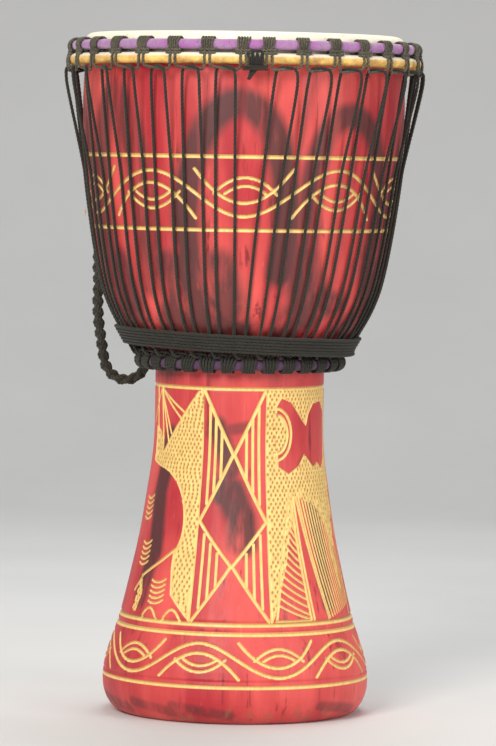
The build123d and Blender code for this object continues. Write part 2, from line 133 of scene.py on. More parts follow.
class DrumColours(bpy.types.PropertyGroup):
    """Colours of the dressed drum."""

    stain: bpy.props.FloatVectorProperty(
        name="Stain", description="Red stain where it lies thick",
        subtype="COLOR", default=(0.43, 0.017, 0.026),
    )
    thin_stain: bpy.props.FloatVectorProperty(
        name="Thin stain", description="Red stain rubbed thin",
        subtype="COLOR", default=(0.78, 0.1, 0.085),
    )
    raw_wood: bpy.props.FloatVectorProperty(
        name="Raw wood", description="Wood bared by the cuts",
        subtype="COLOR", default=(0.93, 0.67, 0.23),
    )
    # ochre: the stained tone inside the cuts, and also the painted shade on the cuts' upper walls and in
    # the punched pits
    ochre: bpy.props.FloatVectorProperty(
        name="Ochre", description="Stained shade inside the cuts",
        subtype="COLOR", default=(0.4, 0.17, 0.035),
    )
    brush: bpy.props.FloatVectorProperty(
        name="Brushed dark", description="Dark brushed patches over the stain",
        subtype="COLOR", default=(0.04, 0.016, 0.016),
    )
    skin: bpy.props.FloatVectorProperty(
        name="Skin", description="Goat skin on top",
        subtype="COLOR", default=(0.93, 0.88, 0.7),
    )
    skin_roll: bpy.props.FloatVectorProperty(
        name="Skin roll", description="Skin folded over the flesh ring",
        subtype="COLOR", default=(0.88, 0.56, 0.15),
    )
    cloth: bpy.props.FloatVectorProperty(
        name="Ring cloth", description="Mauve strip on the rings",
        subtype="COLOR", default=(0.42, 0.14, 0.42),
    )
    rope: bpy.props.FloatVectorProperty(
        name="Rope", description="Dark lacing",
        subtype="COLOR", default=(0.006, 0.0062, 0.0045),
    )
    # rope dust: the dust and the painted highlight on the strands' crowns
    rope_dust_and_highlight: bpy.props.FloatVectorProperty(
        name="Rope dust", description="Dust on the strands' crowns",
        subtype="COLOR", default=(0.034, 0.03, 0.019),
    )


# ---- geometry helpers ----------------------------------------------------------------


def around(radius, height, angle):
    """Points at these radii and heights, these many degrees from the front."""
    turn = np.radians(angle)
    return np.stack(
        np.broadcast_arrays(radius * np.sin(turn), -radius * np.cos(turn), height), axis=-1
    )


def waves(angle, lengths, seed):
    """A seeded, smooth, closed wobble between about -1 and 1 round the drum."""
    chance = np.random.default_rng(seed)
    total = np.zeros_like(np.asarray(angle, float))
    for count in lengths:
        total += np.sin(np.radians(angle) * count + chance.uniform(0, 2 * math.pi))
    return total / len(lengths)


def smooth_step(value):
    """Eases from 0 to 1, clamped."""
    value = np.clip(value, 0, 1)
    return value * value * (3 - 2 * value)


def rounded(points, rounds=3):
    """The line with its corners cut, several times over, ends kept."""
    points = np.asarray(points, float)
    for _ in range(rounds):
        first = points[:-1] * 0.75 + points[1:] * 0.25
        second = points[:-1] * 0.25 + points[1:] * 0.75
        between = np.stack([first, second], axis=1).reshape(-1, 3)
        points = np.vstack([points[:1], between[1:-1], points[-1:]])
    return points


def evenly(points, step):
    """The line in equal steps of about this length."""
    runs = np.linalg.norm(np.diff(points, axis=0), axis=1)
    reached = np.concatenate([[0], np.cumsum(runs)])
    count = max(3, int(round(reached[-1] / step)))
    wanted = np.linspace(0, reached[-1], count + 1)
    return np.stack([np.interp(wanted, reached, points[:, k]) for k in range(3)], axis=1)


def frames_along(line):
    """Tangents and two turning-free side directions at each point."""
    tangents = np.gradient(line, axis=0)
    tangents /= np.linalg.norm(tangents, axis=1)[:, None]
    side = np.cross(tangents[0], (0.3, 0.2, 1.0))
    side /= np.linalg.norm(side)
    sides = np.empty_like(line)
    for k, tangent in enumerate(tangents):
        side = side - tangent * side.dot(tangent)
        side /= np.linalg.norm(side)
        sides[k] = side
    return tangents, sides, np.cross(tangents, sides)


def new_piece(name, points, quads, attributes=None, triangles=()):
    """A smooth mesh object from arrays; attributes are float values at its points."""
    points, quads = np.asarray(points, np.float32), np.asarray(quads)
    triangles = np.asarray(triangles, int).reshape(-1, 3)
    corners = np.concatenate([quads.ravel(), triangles.ravel()]).astype(np.int32)
    starts = np.concatenate([np.arange(len(quads)) * 4, quads.size + np.arange(len(triangles)) * 3])
    mesh = bpy.data.meshes.new(name)
    mesh.vertices.add(len(points))
    mesh.vertices.foreach_set("co", points.ravel())
    mesh.loops.add(len(corners))
    mesh.loops.foreach_set("vertex_index", corners)
    mesh.polygons.add(len(starts))
    mesh.polygons.foreach_set("loop_start", starts.astype(np.int32))
    mesh.update(calc_edges=True)
    mesh.polygons.foreach_set("use_smooth", np.ones(len(starts), bool))
    for label, values in (attributes or {}).items():
        layer = mesh.attributes.new(label, "FLOAT", "POINT")
        layer.data.foreach_set("value", np.asarray(values, np.float32).ravel())
    piece = bpy.data.objects.new(name, mesh)
    bpy.context.scene.collection.objects.link(piece)
    return piece


def grid_faces(rows, columns, closed_rows):
    """Quads over a grid of points, row after row, whose columns close round."""
    row = np.arange(rows if closed_rows else rows - 1)
    row, column = np.meshgrid(row, np.arange(columns), indexing="ij")
    here, above = row * columns, (row + 1) % rows * columns
    beside = (column + 1) % columns
    return np.stack([here + column, here + beside, above + beside, above + column], axis=-1).reshape(-1, 4)


def twisted_section(count, strands):
    """Radii, as shares of the rope's, round a section of this many laid strands."""
    strand = 0.56
    lobe = 2 * math.pi / strands
    phase = (np.arange(count) / count * 2 * math.pi + lobe / 2) % lobe - lobe / 2
    centre = 1 - strand
    return centre * np.cos(phase) + np.sqrt(strand**2 - (centre * np.sin(phase)) ** 2)


def rope_arrays(line, diameter, strands, lay, sides, step):
    """Points, quads, end triangles and ridge values of one laid rope along a line."""
    line = evenly(line, step)
    _, across, up = frames_along(line)
    shares = twisted_section(sides, strands)
    turn = np.arange(len(line)) * np.linalg.norm(line[1] - line[0]) / lay * 2 * math.pi
    angle = np.arange(sides)[None, :] / sides * 2 * math.pi + turn[:, None]
    radius = diameter / 2 * shares[None, :]
    points = (
        line[:, None, :]
        + across[:, None, :] * (radius * np.cos(angle))[..., None]
        + up[:, None, :] * (radius * np.sin(angle))[..., None]
    ).reshape(-1, 3)
    ring = np.arange(sides)
    after = (ring + 1) % sides
    far = len(points) - sides
    start = np.stack([after, np.full(sides, len(points)), ring], axis=1)
    end = np.stack([ring + far, after + far, np.full(sides, len(points) + 1)], axis=1)
    ridge = np.concatenate([np.tile(shares, len(line)), [0.7, 0.7]])
    ridge = (ridge - ridge.min()) / (ridge.max() - ridge.min())
    points = np.vstack([points, line[:1], line[-1:]])
    return points, grid_faces(len(line), sides, False), np.vstack([start, end]), ridge


def rope_piece(name, lines, diameter, strands=3, lay=None, sides=10, step=None):
    """One object of laid ropes that follow these lines."""
    lay = lay or diameter * 3.4
    step = step or diameter * 0.42
    points, quads, triangles, ridges, base = [], [], [], [], 0
    for line in lines:
        some, faces, ends, ridge = rope_arrays(line, diameter, strands, lay, sides, step)
        points.append(some)
        quads.append(faces + base)
        triangles.append(ends + base)
        ridges.append(ridge)
        base += len(some)
    attributes = {"ridge": np.concatenate(ridges)}
    return new_piece(name, np.vstack(points), np.vstack(quads), attributes, np.vstack(triangles))


def dress(piece, material, body, slot, *nodes):
    """Gives a piece its material and body and hides the nodes it stands for; slot is not used."""
    piece.data.materials.clear()
    piece.data.materials.append(material)
    if nodes:
        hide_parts(*nodes)
    if body:
        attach(piece, body)


# ---- the shell's outline, felt from the frame's own shell ------------------------------


def felt_outline(heights, outward):
    """Radii of the shell's outside, or of its hollow, at these heights."""
    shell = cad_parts["shell"]
    radii = []
    for height in heights:
        found = 0.0
        for angle in (3.0, 7.0, 11.0):
            direction = Vector(around(1.0, 0.0, angle))
            start = direction * (0.001 if outward else 0.3)
            start.z = height
            hit, place, _, _ = shell.ray_cast(start, direction if outward else -direction)
            if hit:
                found = max(found, math.hypot(place.x, place.y))
        radii.append(found)
    return np.array(radii)


OUTSIDE_HEIGHTS = np.linspace(0.4 * MM, RIM_HEIGHT - 0.3 * MM, 560)
OUTSIDE_RADII = felt_outline(OUTSIDE_HEIGHTS, outward=False)


def shell_radius(height):
    """Radius of the shell's outside at a height."""
    return np.interp(height, OUTSIDE_HEIGHTS, OUTSIDE_RADII)


# ---- materials -----------------------------------------------------------------------


class Finish:
    """A material with its nodes close at hand."""

    def __init__(self, name, roughness, **sockets):
        self.material = bpy.data.materials.new(name)
        self.material.use_nodes = True
        self.nodes = self.material.node_tree.nodes
        self.links = self.material.node_tree.links
        self.shader = self.nodes["Principled BSDF"]
        self.shader.inputs["Roughness"].default_value = roughness
        for socket, value in sockets.items():
            self.shader.inputs[socket.replace("_", " ")].default_value = value

    def place(self, stretch=(1, 1, 1)):
        """Object coordinates, stretched."""
        coordinates = self.nodes.new("ShaderNodeTexCoord")
        mapping = self.nodes.new("ShaderNodeMapping")
        mapping.inputs["Scale"].default_value = stretch
        self.links.new(coordinates.outputs["Object"], mapping.inputs["Vector"])
        return mapping.outputs["Vector"]

    def noise(self, scale, detail=4.0, stretch=(1, 1, 1), roughness=0.55):
        texture = self.nodes.new("ShaderNodeTexNoise")
        texture.inputs["Scale"].default_value = scale
        texture.inputs["Detail"].default_value = detail
        texture.inputs["Roughness"].default_value = roughness
        self.links.new(self.place(stretch), texture.inputs["Vector"])
        return texture.outputs["Fac"]

    def spread(self, value, low, high, to_low=0.0, to_high=1.0):
        """Stretches a value's range, clamped."""
        node = self.nodes.new("ShaderNodeMapRange")
        node.inputs["From Min"].default_value = low
        node.inputs["From Max"].default_value = high
        node.inputs["To Min"].default_value = to_low
        node.inputs["To Max"].default_value = to_high
        self.links.new(value, node.inputs["Value"])
        return node.outputs["Result"]

    def maths(self, operation, first, second):
        node = self.nodes.new("ShaderNodeMath")
        node.operation = operation
        for socket, value in zip(node.inputs, (first, second)):
            if isinstance(value, (int, float)):
                socket.default_value = value
            else:
                self.links.new(value, socket)
        return node.outputs["Value"]

    def attribute(self, name):
        node = self.nodes.new("ShaderNodeAttribute")
        node.attribute_name = name
        return node.outputs["Fac"]

    def mix(self, share, first, second):
        """A colour between two, each a socket or a colour."""
        node = self.nodes.new("ShaderNodeMix")
        node.data_type = "RGBA"
        for socket, value in ((node.inputs[0], share), (node.inputs[6], first), (node.inputs[7], second)):
            if isinstance(value, bpy.types.NodeSocket):
                self.links.new(value, socket)
            elif isinstance(value, (int, float)):
                socket.default_value = value
            else:
                socket.default_value = (*tuple(value)[:3], 1)
        return node.outputs[2]

    def finish(self, colour, bump=None, distance=0.3 * MM, roughness=None):
        self.links.new(colour, self.shader.inputs["Base Color"])
        if bump is not None:
            node = self.nodes.new("ShaderNodeBump")
            node.inputs["Strength"].default_value = 0.7
            node.inputs["Distance"].default_value = distance
            self.links.new(bump, node.inputs["Height"])
            self.links.new(node.outputs["Normal"], self.shader.inputs["Normal"])
        if roughness is not None:
            self.links.new(roughness, self.shader.inputs["Roughness"])
        return self.material


def carved_wood(colours):
    """Red stain over upright grain, dark brushed patches, raw wood in the cuts, with painted shade in ochre
    on the cuts' upper walls and in the punched pits.
    """
    wood = Finish("stained_carved_wood", 0.5, Coat_Weight=0.08, Coat_Roughness=0.4)
    grain = wood.noise(150, 6, (1, 1, 0.05), 0.65)
    pores = wood.noise(520, 3, (1, 1, 0.035), 0.5)
    clouds = wood.noise(11, 4, (1, 1, 0.5))
    streaks = wood.noise(38, 5, (1, 1, 0.08))
    thin = wood.maths("ADD", wood.maths("MULTIPLY", clouds, 0.9), wood.maths("MULTIPLY", streaks, 0.55))
    red = wood.mix(wood.spread(thin, 0.56, 0.92), colours.stain, colours.thin_stain)
    deep = wood.mix(wood.spread(grain, 0.42, 0.3), red, [0.5 * c for c in colours.stain])
    flecked = wood.mix(wood.spread(pores, 0.66, 0.8, 0, 0.35), deep, (0.75, 0.3, 0.22))
    dry = wood.spread(wood.noise(60, 6, (1, 1, 0.1), 0.6), 0.3, 0.5, 0.3, 1)
    smear = wood.maths("MULTIPLY", wood.attribute("smear"), dry)
    brushed = wood.mix(wood.spread(smear, 0.02, 0.75, 0, 0.88), flecked, colours.brush)
    patches = wood.noise(120, 6, (1, 1, 0.5))
    rubbed = wood.maths("MULTIPLY", wood.attribute("wear"), wood.spread(patches, 0.5, 0.66))
    worn = wood.mix(wood.spread(rubbed, 0.3, 0.7, 0, 0.6), brushed, (0.3, 0.11, 0.06))
    raw = wood.attribute("raw")
    tone = wood.spread(wood.noise(330, 4, (1, 1, 0.3)), 0.35, 0.65)
    cut_tone = wood.mix(tone, colours.ochre, colours.raw_wood)
    bared = wood.mix(0.72, cut_tone, colours.raw_wood)
    # painted shade: ochre laid over the upper walls of the cuts and in the punched pits
    shaded = wood.mix(wood.attribute("shade"), bared, colours.ochre)
    colour = wood.mix(wood.spread(raw, 0.3, 0.75), worn, shaded)
    height = wood.maths("ADD", grain, wood.maths("MULTIPLY", pores, 0.5))
    return wood.finish(colour, height, 0.35 * MM, wood.spread(grain, 0.3, 0.7, 0.42, 0.66))


def laid_rope(name, colours, dust, fibre_scale=900):
    """Dark cord with dust and a painted highlight on the strands' crowns, and fine fibres."""
    rope = Finish(name, 0.82, Sheen_Weight=0.12)
    patches = rope.noise(60, 4)
    ridges = rope.spread(rope.attribute("ridge"), 0.35, 1.0)
    # the strands' crowns get the lighter colour: dust and painted highlight
    crowns = rope.maths("MULTIPLY", ridges, rope.spread(patches, 0.3, 0.7, 0.25, 1))
    fibres = rope.noise(fibre_scale, 3)
    dusted_and_highlit = rope.mix(crowns, colours.rope, dust)
    colour = rope.mix(rope.spread(fibres, 0.45, 0.75, 0, 0.45), dusted_and_highlit, [c * 1.7 for c in dust])
    return rope.finish(colour, fibres, 0.35 * MM)


def goat_skin(colours):
    """Cream skin with faint tan spots, golden where it is folded over the ring, save a painted highlight
    along the roll's top.
    """
    skin = Finish("goat_skin", 0.62, Subsurface_Weight=0.12, Subsurface_Scale=2 * MM)
    clouds = skin.noise(14, 5)
    spots = skin.noise(85, 5, roughness=0.7)
    hair = skin.noise(700, 2)
    cream = skin.mix(skin.spread(clouds, 0.35, 0.65), colours.skin, [c * 0.82 for c in colours.skin])
    spotted = skin.mix(skin.spread(spots, 0.58, 0.72, 0, 0.55), cream, (0.42, 0.24, 0.1))
    mottled_roll = skin.mix(skin.spread(spots, 0.4, 0.7), colours.skin_roll, (0.36, 0.17, 0.05))
    folded = skin.attribute("folded")
    colour = skin.mix(folded, spotted, mottled_roll)
    speckled = skin.mix(skin.spread(hair, 0.62, 0.75, 0, 0.4), colour, (0.3, 0.18, 0.09))
    return skin.finish(speckled, skin.maths("ADD", spots, hair), 0.25 * MM)


def wound_cloth(name, colours, lit_share):
    """Dusty mauve cloth: fine weave, and painted shade darkening the edges where the strip overlaps."""
    cloth = Finish(name, 0.9, Sheen_Weight=0.35 * lit_share)
    weave = cloth.noise(1100, 2, (1, 1, 1.6))
    dust = cloth.noise(75, 5)
    # the first factor scales the whole cloth's colour: below 1 it is painted shade
    bright = [lit_share * c for c in colours.cloth]
    faded = cloth.mix(cloth.spread(dust, 0.35, 0.7), bright, [0.4 * lit_share, 0.27 * lit_share, 0.4 * lit_share])
    # painted shade where each lap's edge tucks under the next
    edged = cloth.mix(cloth.spread(cloth.attribute("ridge"), 0.25, 0.0, 0, 0.8), faded, (0.05, 0.02, 0.05))
    colour = cloth.mix(cloth.spread(weave, 0.4, 0.62, 0, 0.4), edged, (0.09, 0.03, 0.1))
    return cloth.finish(colour, weave, 0.3 * MM)


def plain_steel():
    """Dull wire with faint drawing marks."""
    steel = Finish("steel_wire", 0.45, Metallic=1.0)
    marks = steel.noise(300, 3)
    colour = steel.mix(steel.spread(marks, 0.4, 0.7), (0.3, 0.29, 0.27), (0.16, 0.13, 0.1))
    return steel.finish(colour, marks, 0.1 * MM)


def pale_thread_finish():
    """Undyed cotton with fine fibres."""
    thread = Finish("pale_thread", 0.9)
    fibres = thread.noise(800, 3)
    colour = thread.mix(thread.spread(fibres, 0.35, 0.65), (0.72, 0.6, 0.42), (0.45, 0.33, 0.2))
    return thread.finish(colour, fibres, 0.3 * MM)


# ---- carving: angles in degrees from the front, heights in millimetres -----------------

RING_LINES = (34.5, 80, 88, 295, 437, 501)  # dark turned lines, under the pale ones beside them, drawn flat without depth: raw wood with painted shade over each line's upper half
BOWL_BAND = (-35.5, 469, 20)  # a crest's angle, the band's middle and the wave's rise
FOOT_BAND = (-16.5, 57.5, 14.5)
BAYS = 5  # whole waves round the drum
PANEL_TOP, PANEL_BOTTOM = 294, 91
SCRAPE_DEPTH = 0.5 * MM
PUNCH_DEPTH = 1.3 * MM
FOOT_MEAN_RADIUS = 85 * MM
LEAST_RADIUS = 70 * MM

class CarvedSurface:
    """Maps over the shell's outside, unrolled: depth of cut, raw wood, painted shade in the cuts, dark
    brush and wear.
    """

    def __init__(self, heights, radii, columns):
        self.heights = heights
        self.radii = radii
        self.angles = np.arange(columns) * 360 / columns - 180
        shape = (len(heights), columns)
        self.depth, self.raw, self.smear, self.wear, self.shade = np.zeros((5, *shape))

    def near(self, a, b, reach):
        """Rows and columns round a run, and each point's distance from it and side of it."""
        (angle_a, height_a), (angle_b, height_b) = a, b
        rows = np.nonzero(
            (self.heights > min(height_a, height_b) - reach)
            & (self.heights < max(height_a, height_b) + reach)
        )[0]
        middle = (angle_a + angle_b) / 2
        away = (self.angles - middle + 180) % 360 - 180
        widest = abs(angle_b - angle_a) / 2 + math.degrees(reach / LEAST_RADIUS)
        columns = np.nonzero(np.abs(away) < widest)[0]
        radii = self.radii[rows][:, None]
        across = np.radians(away[columns])[None, :] * radii
        start = math.radians(angle_a - middle) * radii
        run = math.radians(angle_b - angle_a) * radii
        rise = height_b - height_a
        up = self.heights[rows][:, None] - height_a
        along = ((across - start) * run + up * rise) / (run**2 + rise**2 + 1e-12)
        along = np.clip(along, 0, 1)
        beside, above = across - start - along * run, up - along * rise
        return np.ix_(rows, columns), np.hypot(beside, above), above

    def cut(self, points, width, depth):
        """A V groove along points of (angle, height in mm), with painted shade marked on its upper half."""
        half = width / 2
        for a, b in zip(points, points[1:]):
            a, b = (a[0], a[1] * MM), (b[0], b[1] * MM)
            where, distance, above = self.near(a, b, half + 1.5 * MM)
            nearness = np.clip(1 - distance / half, 0, 1)
            self.depth[where] = np.maximum(self.depth[where], depth * nearness)
            bared = np.clip((half - distance) / (0.9 * MM) + 0.6, 0, 1)
            # painted shade: the groove's upper half, which faces down, is marked for the ochre shade colour
            upper = np.clip(above / half * 1.3, 0, 1) * (bared > 0.3)
            newer = bared > self.raw[where]
            self.shade[where] = np.where(newer, upper, self.shade[where])
            self.raw[where] = np.maximum(self.raw[where], bared)

    def brush(self, points, width, strength):
        """A soft dark brush mark."""
        for a, b in zip(points, points[1:]):
            a, b = (a[0], a[1] * MM), (b[0], b[1] * MM)
            where, distance, _ = self.near(a, b, width)
            dark = smooth_step(1.5 * (1 - distance / (width * 0.75))) * strength
            self.smear[where] = np.maximum(self.smear[where], dark)

    def inside(self, outline):
        """Mask of the points within an outline of (angle, height in mm)."""
        outline = np.array(outline, float) * (1, MM)
        middle = outline[:, 0].mean()
        away = (self.angles - middle + 180) % 360 - 180 + middle
        angle, height = np.meshgrid(away, self.heights)
        mask = np.zeros(angle.shape, bool)
        for (a0, h0), (a1, h1) in zip(outline, np.roll(outline, -1, axis=0)):
            if h0 == h1:
                continue
            crosses = (h0 > height) != (h1 > height)
            mask ^= crosses & (angle < a0 + (height - h0) / (h1 - h0) * (a1 - a0))
        return mask

    def bare(self, outline, seed, spared=None):
        """A panel scraped to raw wood and pitted with staggered rows of punch marks."""
        mask = self.inside(outline)
        if spared:
            mask &= ~self.inside(spared)
        self.raw[mask] = np.maximum(self.raw[mask], 0.9)
        self.depth[mask] = np.maximum(self.depth[mask], SCRAPE_DEPTH)
        chance = np.random.default_rng(seed)
        heights = self.heights[mask.any(axis=1)]
        pitch = 4.6 * MM
        angle_pitch = math.degrees(pitch / FOOT_MEAN_RADIUS)
        for number, height in enumerate(np.arange(heights.min(), heights.max(), pitch * 0.8)):
            row = int(np.searchsorted(self.heights, height))
            inside = np.nonzero(mask[row])[0]
            if len(inside) == 0:
                continue
            first = self.angles[inside].min() + (number % 2) * angle_pitch / 2
            for angle in np.arange(first, self.angles[inside].max(), angle_pitch):
                angle = angle + chance.uniform(-0.35, 0.35)
                column = int(round((angle + 180) / 360 * len(self.angles))) % len(self.angles)
                if mask[row, column]:
                    self.punch(angle, height + chance.uniform(-0.4, 0.4) * MM)

    def punch(self, angle, height):
        """One small pit, darkened with painted shade."""
        where, distance, _ = self.near((angle, height), (angle, height + 0.9 * MM), 2.2 * MM)
        dark = np.clip(1.5 - distance / (0.95 * MM), 0, 1)
        self.depth[where] = np.maximum(self.depth[where], PUNCH_DEPTH * dark)
        # painted shade in the pit
        self.shade[where] = np.maximum(self.shade[where], dark)


def bow(start, end, rise, count=14):
    """Points of a shallow bow between two points, bulging sideways by rise (in its own units)."""
    (a0, h0), (a1, h1) = start, end
    share = np.linspace(0, 1, count)
    bulge = 4 * share * (1 - share)
    return [
        (a0 + s * (a1 - a0) + b * rise[0], h0 + s * (h1 - h0) + b * rise[1])
        for s, b in zip(share, bulge)
    ]


def from_edge(start, *points):
    """The points with their angles counted from a panel's edge."""
    return [(start + angle, height) for angle, height in points]


def carve_wave_band(surface, band, width, depth):
    """A wave round the drum, with a doubled line, an arch and an eye in each of its bays."""
    crest, middle, rise = band
    sweep = np.linspace(0, 360, 361)
    wobble = waves(sweep, (3, 7, 11), 4) * 0.05 * rise
    wave = middle + rise * np.cos(np.radians(BAYS * (sweep - crest))) + wobble
    surface.cut(list(zip(sweep, wave)), width, depth)
    bows = (
        # angles and heights of both ends, how far it bulges, thickness and points
        ((-18, 2.05), (18, 2.1), -1.5, 0.95, 18),
        ((-11, 1.0), (12, 0.95), 0.72, 0.9, 14),
        ((-7, 0.98), (8, 0.98), 0.34, 0.85, 14),
    )
    for step in range(BAYS * 2):
        bay = crest + step * 180 / BAYS
        into = -1 if step % 2 == 0 else 1
        tip = middle - into * rise
        for left, right, bulge, thickness, count in bows:
            ends = [(bay + angle, tip + into * level * rise) for angle, level in (left, right)]
            surface.cut(bow(*ends, (0, into * bulge * rise), count), width * thickness, depth)


def carve_lozenges(surface, middle, width, depth):
    """Two crossed zigzags between upright borders, hatched at both sides."""
    edge, waist, narrowing = 21, 0.4, 0.75
    levels = (PANEL_TOP, 237, 178, 139, PANEL_BOTTOM)
    for side in (-1, 1):
        zigzag = [
            (middle + side * (edge - narrowing * (k // 2) if k % 2 == 0 else waist), level)
            for k, level in enumerate(levels)
        ]
        border = [(middle + side * (edge + 1.5), PANEL_TOP), (middle + side * edge, PANEL_BOTTOM)]
        surface.cut(zigzag, width, depth)
        surface.cut(border, width, depth)
        for top, bottom in ((levels[0], levels[2]), (levels[2], levels[4])):
            centre = (top + bottom) / 2
            for share in (0.22, 0.42, 0.62):
                angle = middle + side * (edge - (edge - waist) * share)
                half = (top - bottom) / 2 * (1 - share) * 0.95
                surface.cut([(angle, centre - half), (angle, centre + half)], width * 0.8, depth)


def carve_leaves(surface, start, width, depth, seed):
    """A punched wedge that narrows to a long leaf, a fan of lines and rows of short strokes."""
    fin = from_edge(start, (-33, 236), (-39, 254), (-46, 258))
    hollow = from_edge(
        start, (-46, 228), (-38, 225), (-24, 221), (-13, 209), (-7, 189), (-6, 165), (-11, 147)
    )
    leaf = from_edge(start, (-11, 135), (-9, 112), (2, 93))
    curve = [tuple(point[:2]) for point in rounded([(*point, 0) for point in hollow], 2)]
    wedge = from_edge(start, (-1, 292)) + fin + curve + leaf + from_edge(start, (2, 292))
    surface.bare(wedge, seed)
    surface.cut(wedge[:-1], width * 0.7, depth * 0.8)
    fan = (start - 38, PANEL_TOP)
    for end in from_edge(start, (-9, 270), (-12, 263), (-25, 253), (-28, 246), (-34, 238), (-52, 262)):
        surface.cut([fan, end], width * 0.7, depth)
    surface.cut(from_edge(start, (-45, PANEL_TOP), (-43, 231)), width * 0.8, depth)
    surface.cut(from_edge(start, (-10, 152), (-20, 140), (-33, 127), (-40, 112)), width * 0.9, depth)
    for angle, height in from_edge(start, (-43, 195), (-37, 155), (-19, 123)):
        for stroke in range(5):
            low = height - stroke * 4.6
            surface.cut(bow((angle - 5, low), (angle + 5, low + 2), (0, -2.5), 6), width * 0.7, depth * 0.9)
    surface.bare(from_edge(start, (-38, 96), (-35, 128), (-31, 112), (-34, 92)), seed + 2)
    for middle in (start - 22, start - 7):
        surface.cut(bow((middle - 5.5, 89), (middle + 5.5, 89), (0, 10), 9), width * 0.8, depth)


def carve_column(surface, start, width, depth, seed):
    """A punched column and field round smooth lobes, half rounds and panels of fine hatching."""
    column = from_edge(
        start, (-1, 293), (66, 293), (66, 215), (54, 150), (36, 190), (17, 200), (8, 140),
        (-1.5, 92), (-1, 180),
    )
    lobes = from_edge(
        start, (6, 226), (5, 280), (9, 288), (17, 284), (27, 268), (31, 263), (33, 272), (39, 282),
        (50, 284), (59, 274), (61, 250), (57, 232), (50, 222), (44, 228), (38, 224), (29, 236),
        (23, 226), (14, 219),
    )
    surface.bare(column, seed, spared=lobes)
    surface.cut(lobes + lobes[:1], width * 0.55, depth * 0.7)
    half_turn = np.linspace(0, math.pi, 16)
    for reach in (12.5, 9.5):
        half_round = [
            (start + 4.5 + reach * math.sin(turn), 255 + 1.85 * reach * math.cos(turn))
            for turn in half_turn
        ]
        surface.cut(half_round, width * 0.9, depth)
    surface.bare(half_round, seed + 3)
    top, base = 203, 91
    panel = from_edge(start, (14, top), (20, base), (0, base), (5, 140))
    surface.cut(panel + panel[:1], width * 0.8, depth)
    for line in range(16):
        low = 98 + line * 6.6
        share = (top - low) / (top - base)
        left, right = start + 14 - 14 * share, start + 14 + 6 * min(share + 0.12, 1)
        hatch = bow((left, low + 8), (right, max(low - 9, 92)), (0, -1.5), 5)
        surface.cut(hatch, width * 0.66, depth * 0.8)
    surface.cut(from_edge(start, (16, top), (22, base)), width * 0.8, depth)
    surface.cut(from_edge(start, (18, 200), (33, base)), width * 0.8, depth)
    for line in range(13):
        angle = start + 19 + 2.7 * line
        stroke = [(angle, 208 - 1.5 * line), (angle + 15 - 0.4 * line, 92 + line)]
        surface.cut(stroke, width * 0.7, depth * 0.8)
    lens = from_edge(start, (47, 178), (51, 150), (52, 116), (48, 140))
    surface.cut(lens + lens[:1], width * 0.7, depth)
    surface.cut(from_edge(start, (60, 214), (62, 150), (58, 92)), width * 0.8, depth)


def brush_darks(surface):
    """Dark brush marks: tall open loops on the bowl and smears on the foot."""
    loops = (
        # middle, half width, brush, lowest, highest, strength
        (-52, 12, 30, 330, 552, 0.62),
        (-2, 20, 26, 345, 548, 0.8),
        (42, 17, 22, 372, 538, 0.7),
        (92, 20, 26, 340, 545, 0.7),
        (140, 18, 26, 360, 545, 0.7),
        (186, 19, 26, 342, 550, 0.7),
        (232, 18, 26, 352, 545, 0.7),
        (272, 17, 24, 365, 548, 0.6),
    )
    for number, (middle, half, brush, low, high, strength) in enumerate(loops):
        turn = np.linspace(-0.15 * math.pi, 1.55 * math.pi, 30)
        centre = (high + low) / 2
        wander = waves(np.degrees(turn), (1, 2), 20 + number)
        loop = [
            (middle + half * math.cos(t) + 1.5 * w, centre + (high - low) / 2 * math.sin(t))
            for t, w in zip(turn, wander)
        ]
        surface.brush(loop, brush * MM, strength)
        trail = [(middle - half, centre - 40), (middle - half + 5, low - 12)]
        surface.brush(trail, brush * 1.3 * MM, strength)
    smears = (
        # where it is repeated, its points, brush and strength
        ((-35, -12, 20, 58, 110, 160, 205, 250, 300), ((0, 345), (7, 372), (3, 405)), 30, 0.7),
        ((-7, 173), ((-8, 262), (2, 225), (-3, 200)), 17, 0.8),
        ((-7, 173), ((2, 205), (9, 180), (10, 160)), 26, 0.9),
        ((-7, 173), ((-12, 255), (14, 262)), 10, 0.5),
        ((-52, 128), ((0, 250), (-6, 200), (-2, 150), (-7, 108)), 20, 0.9),
        ((50, 230), ((0, 225), (6, 160), (5, 105)), 18, 0.8),
        ((-50, -28, 40, 95, 130, 185, 240, 280), ((0, 16), (26, 9)), 9, 0.45),
    )
    for middles, points, brush, strength in smears:
        for middle in middles:
            surface.brush(from_edge(middle, *points), brush * MM, strength)


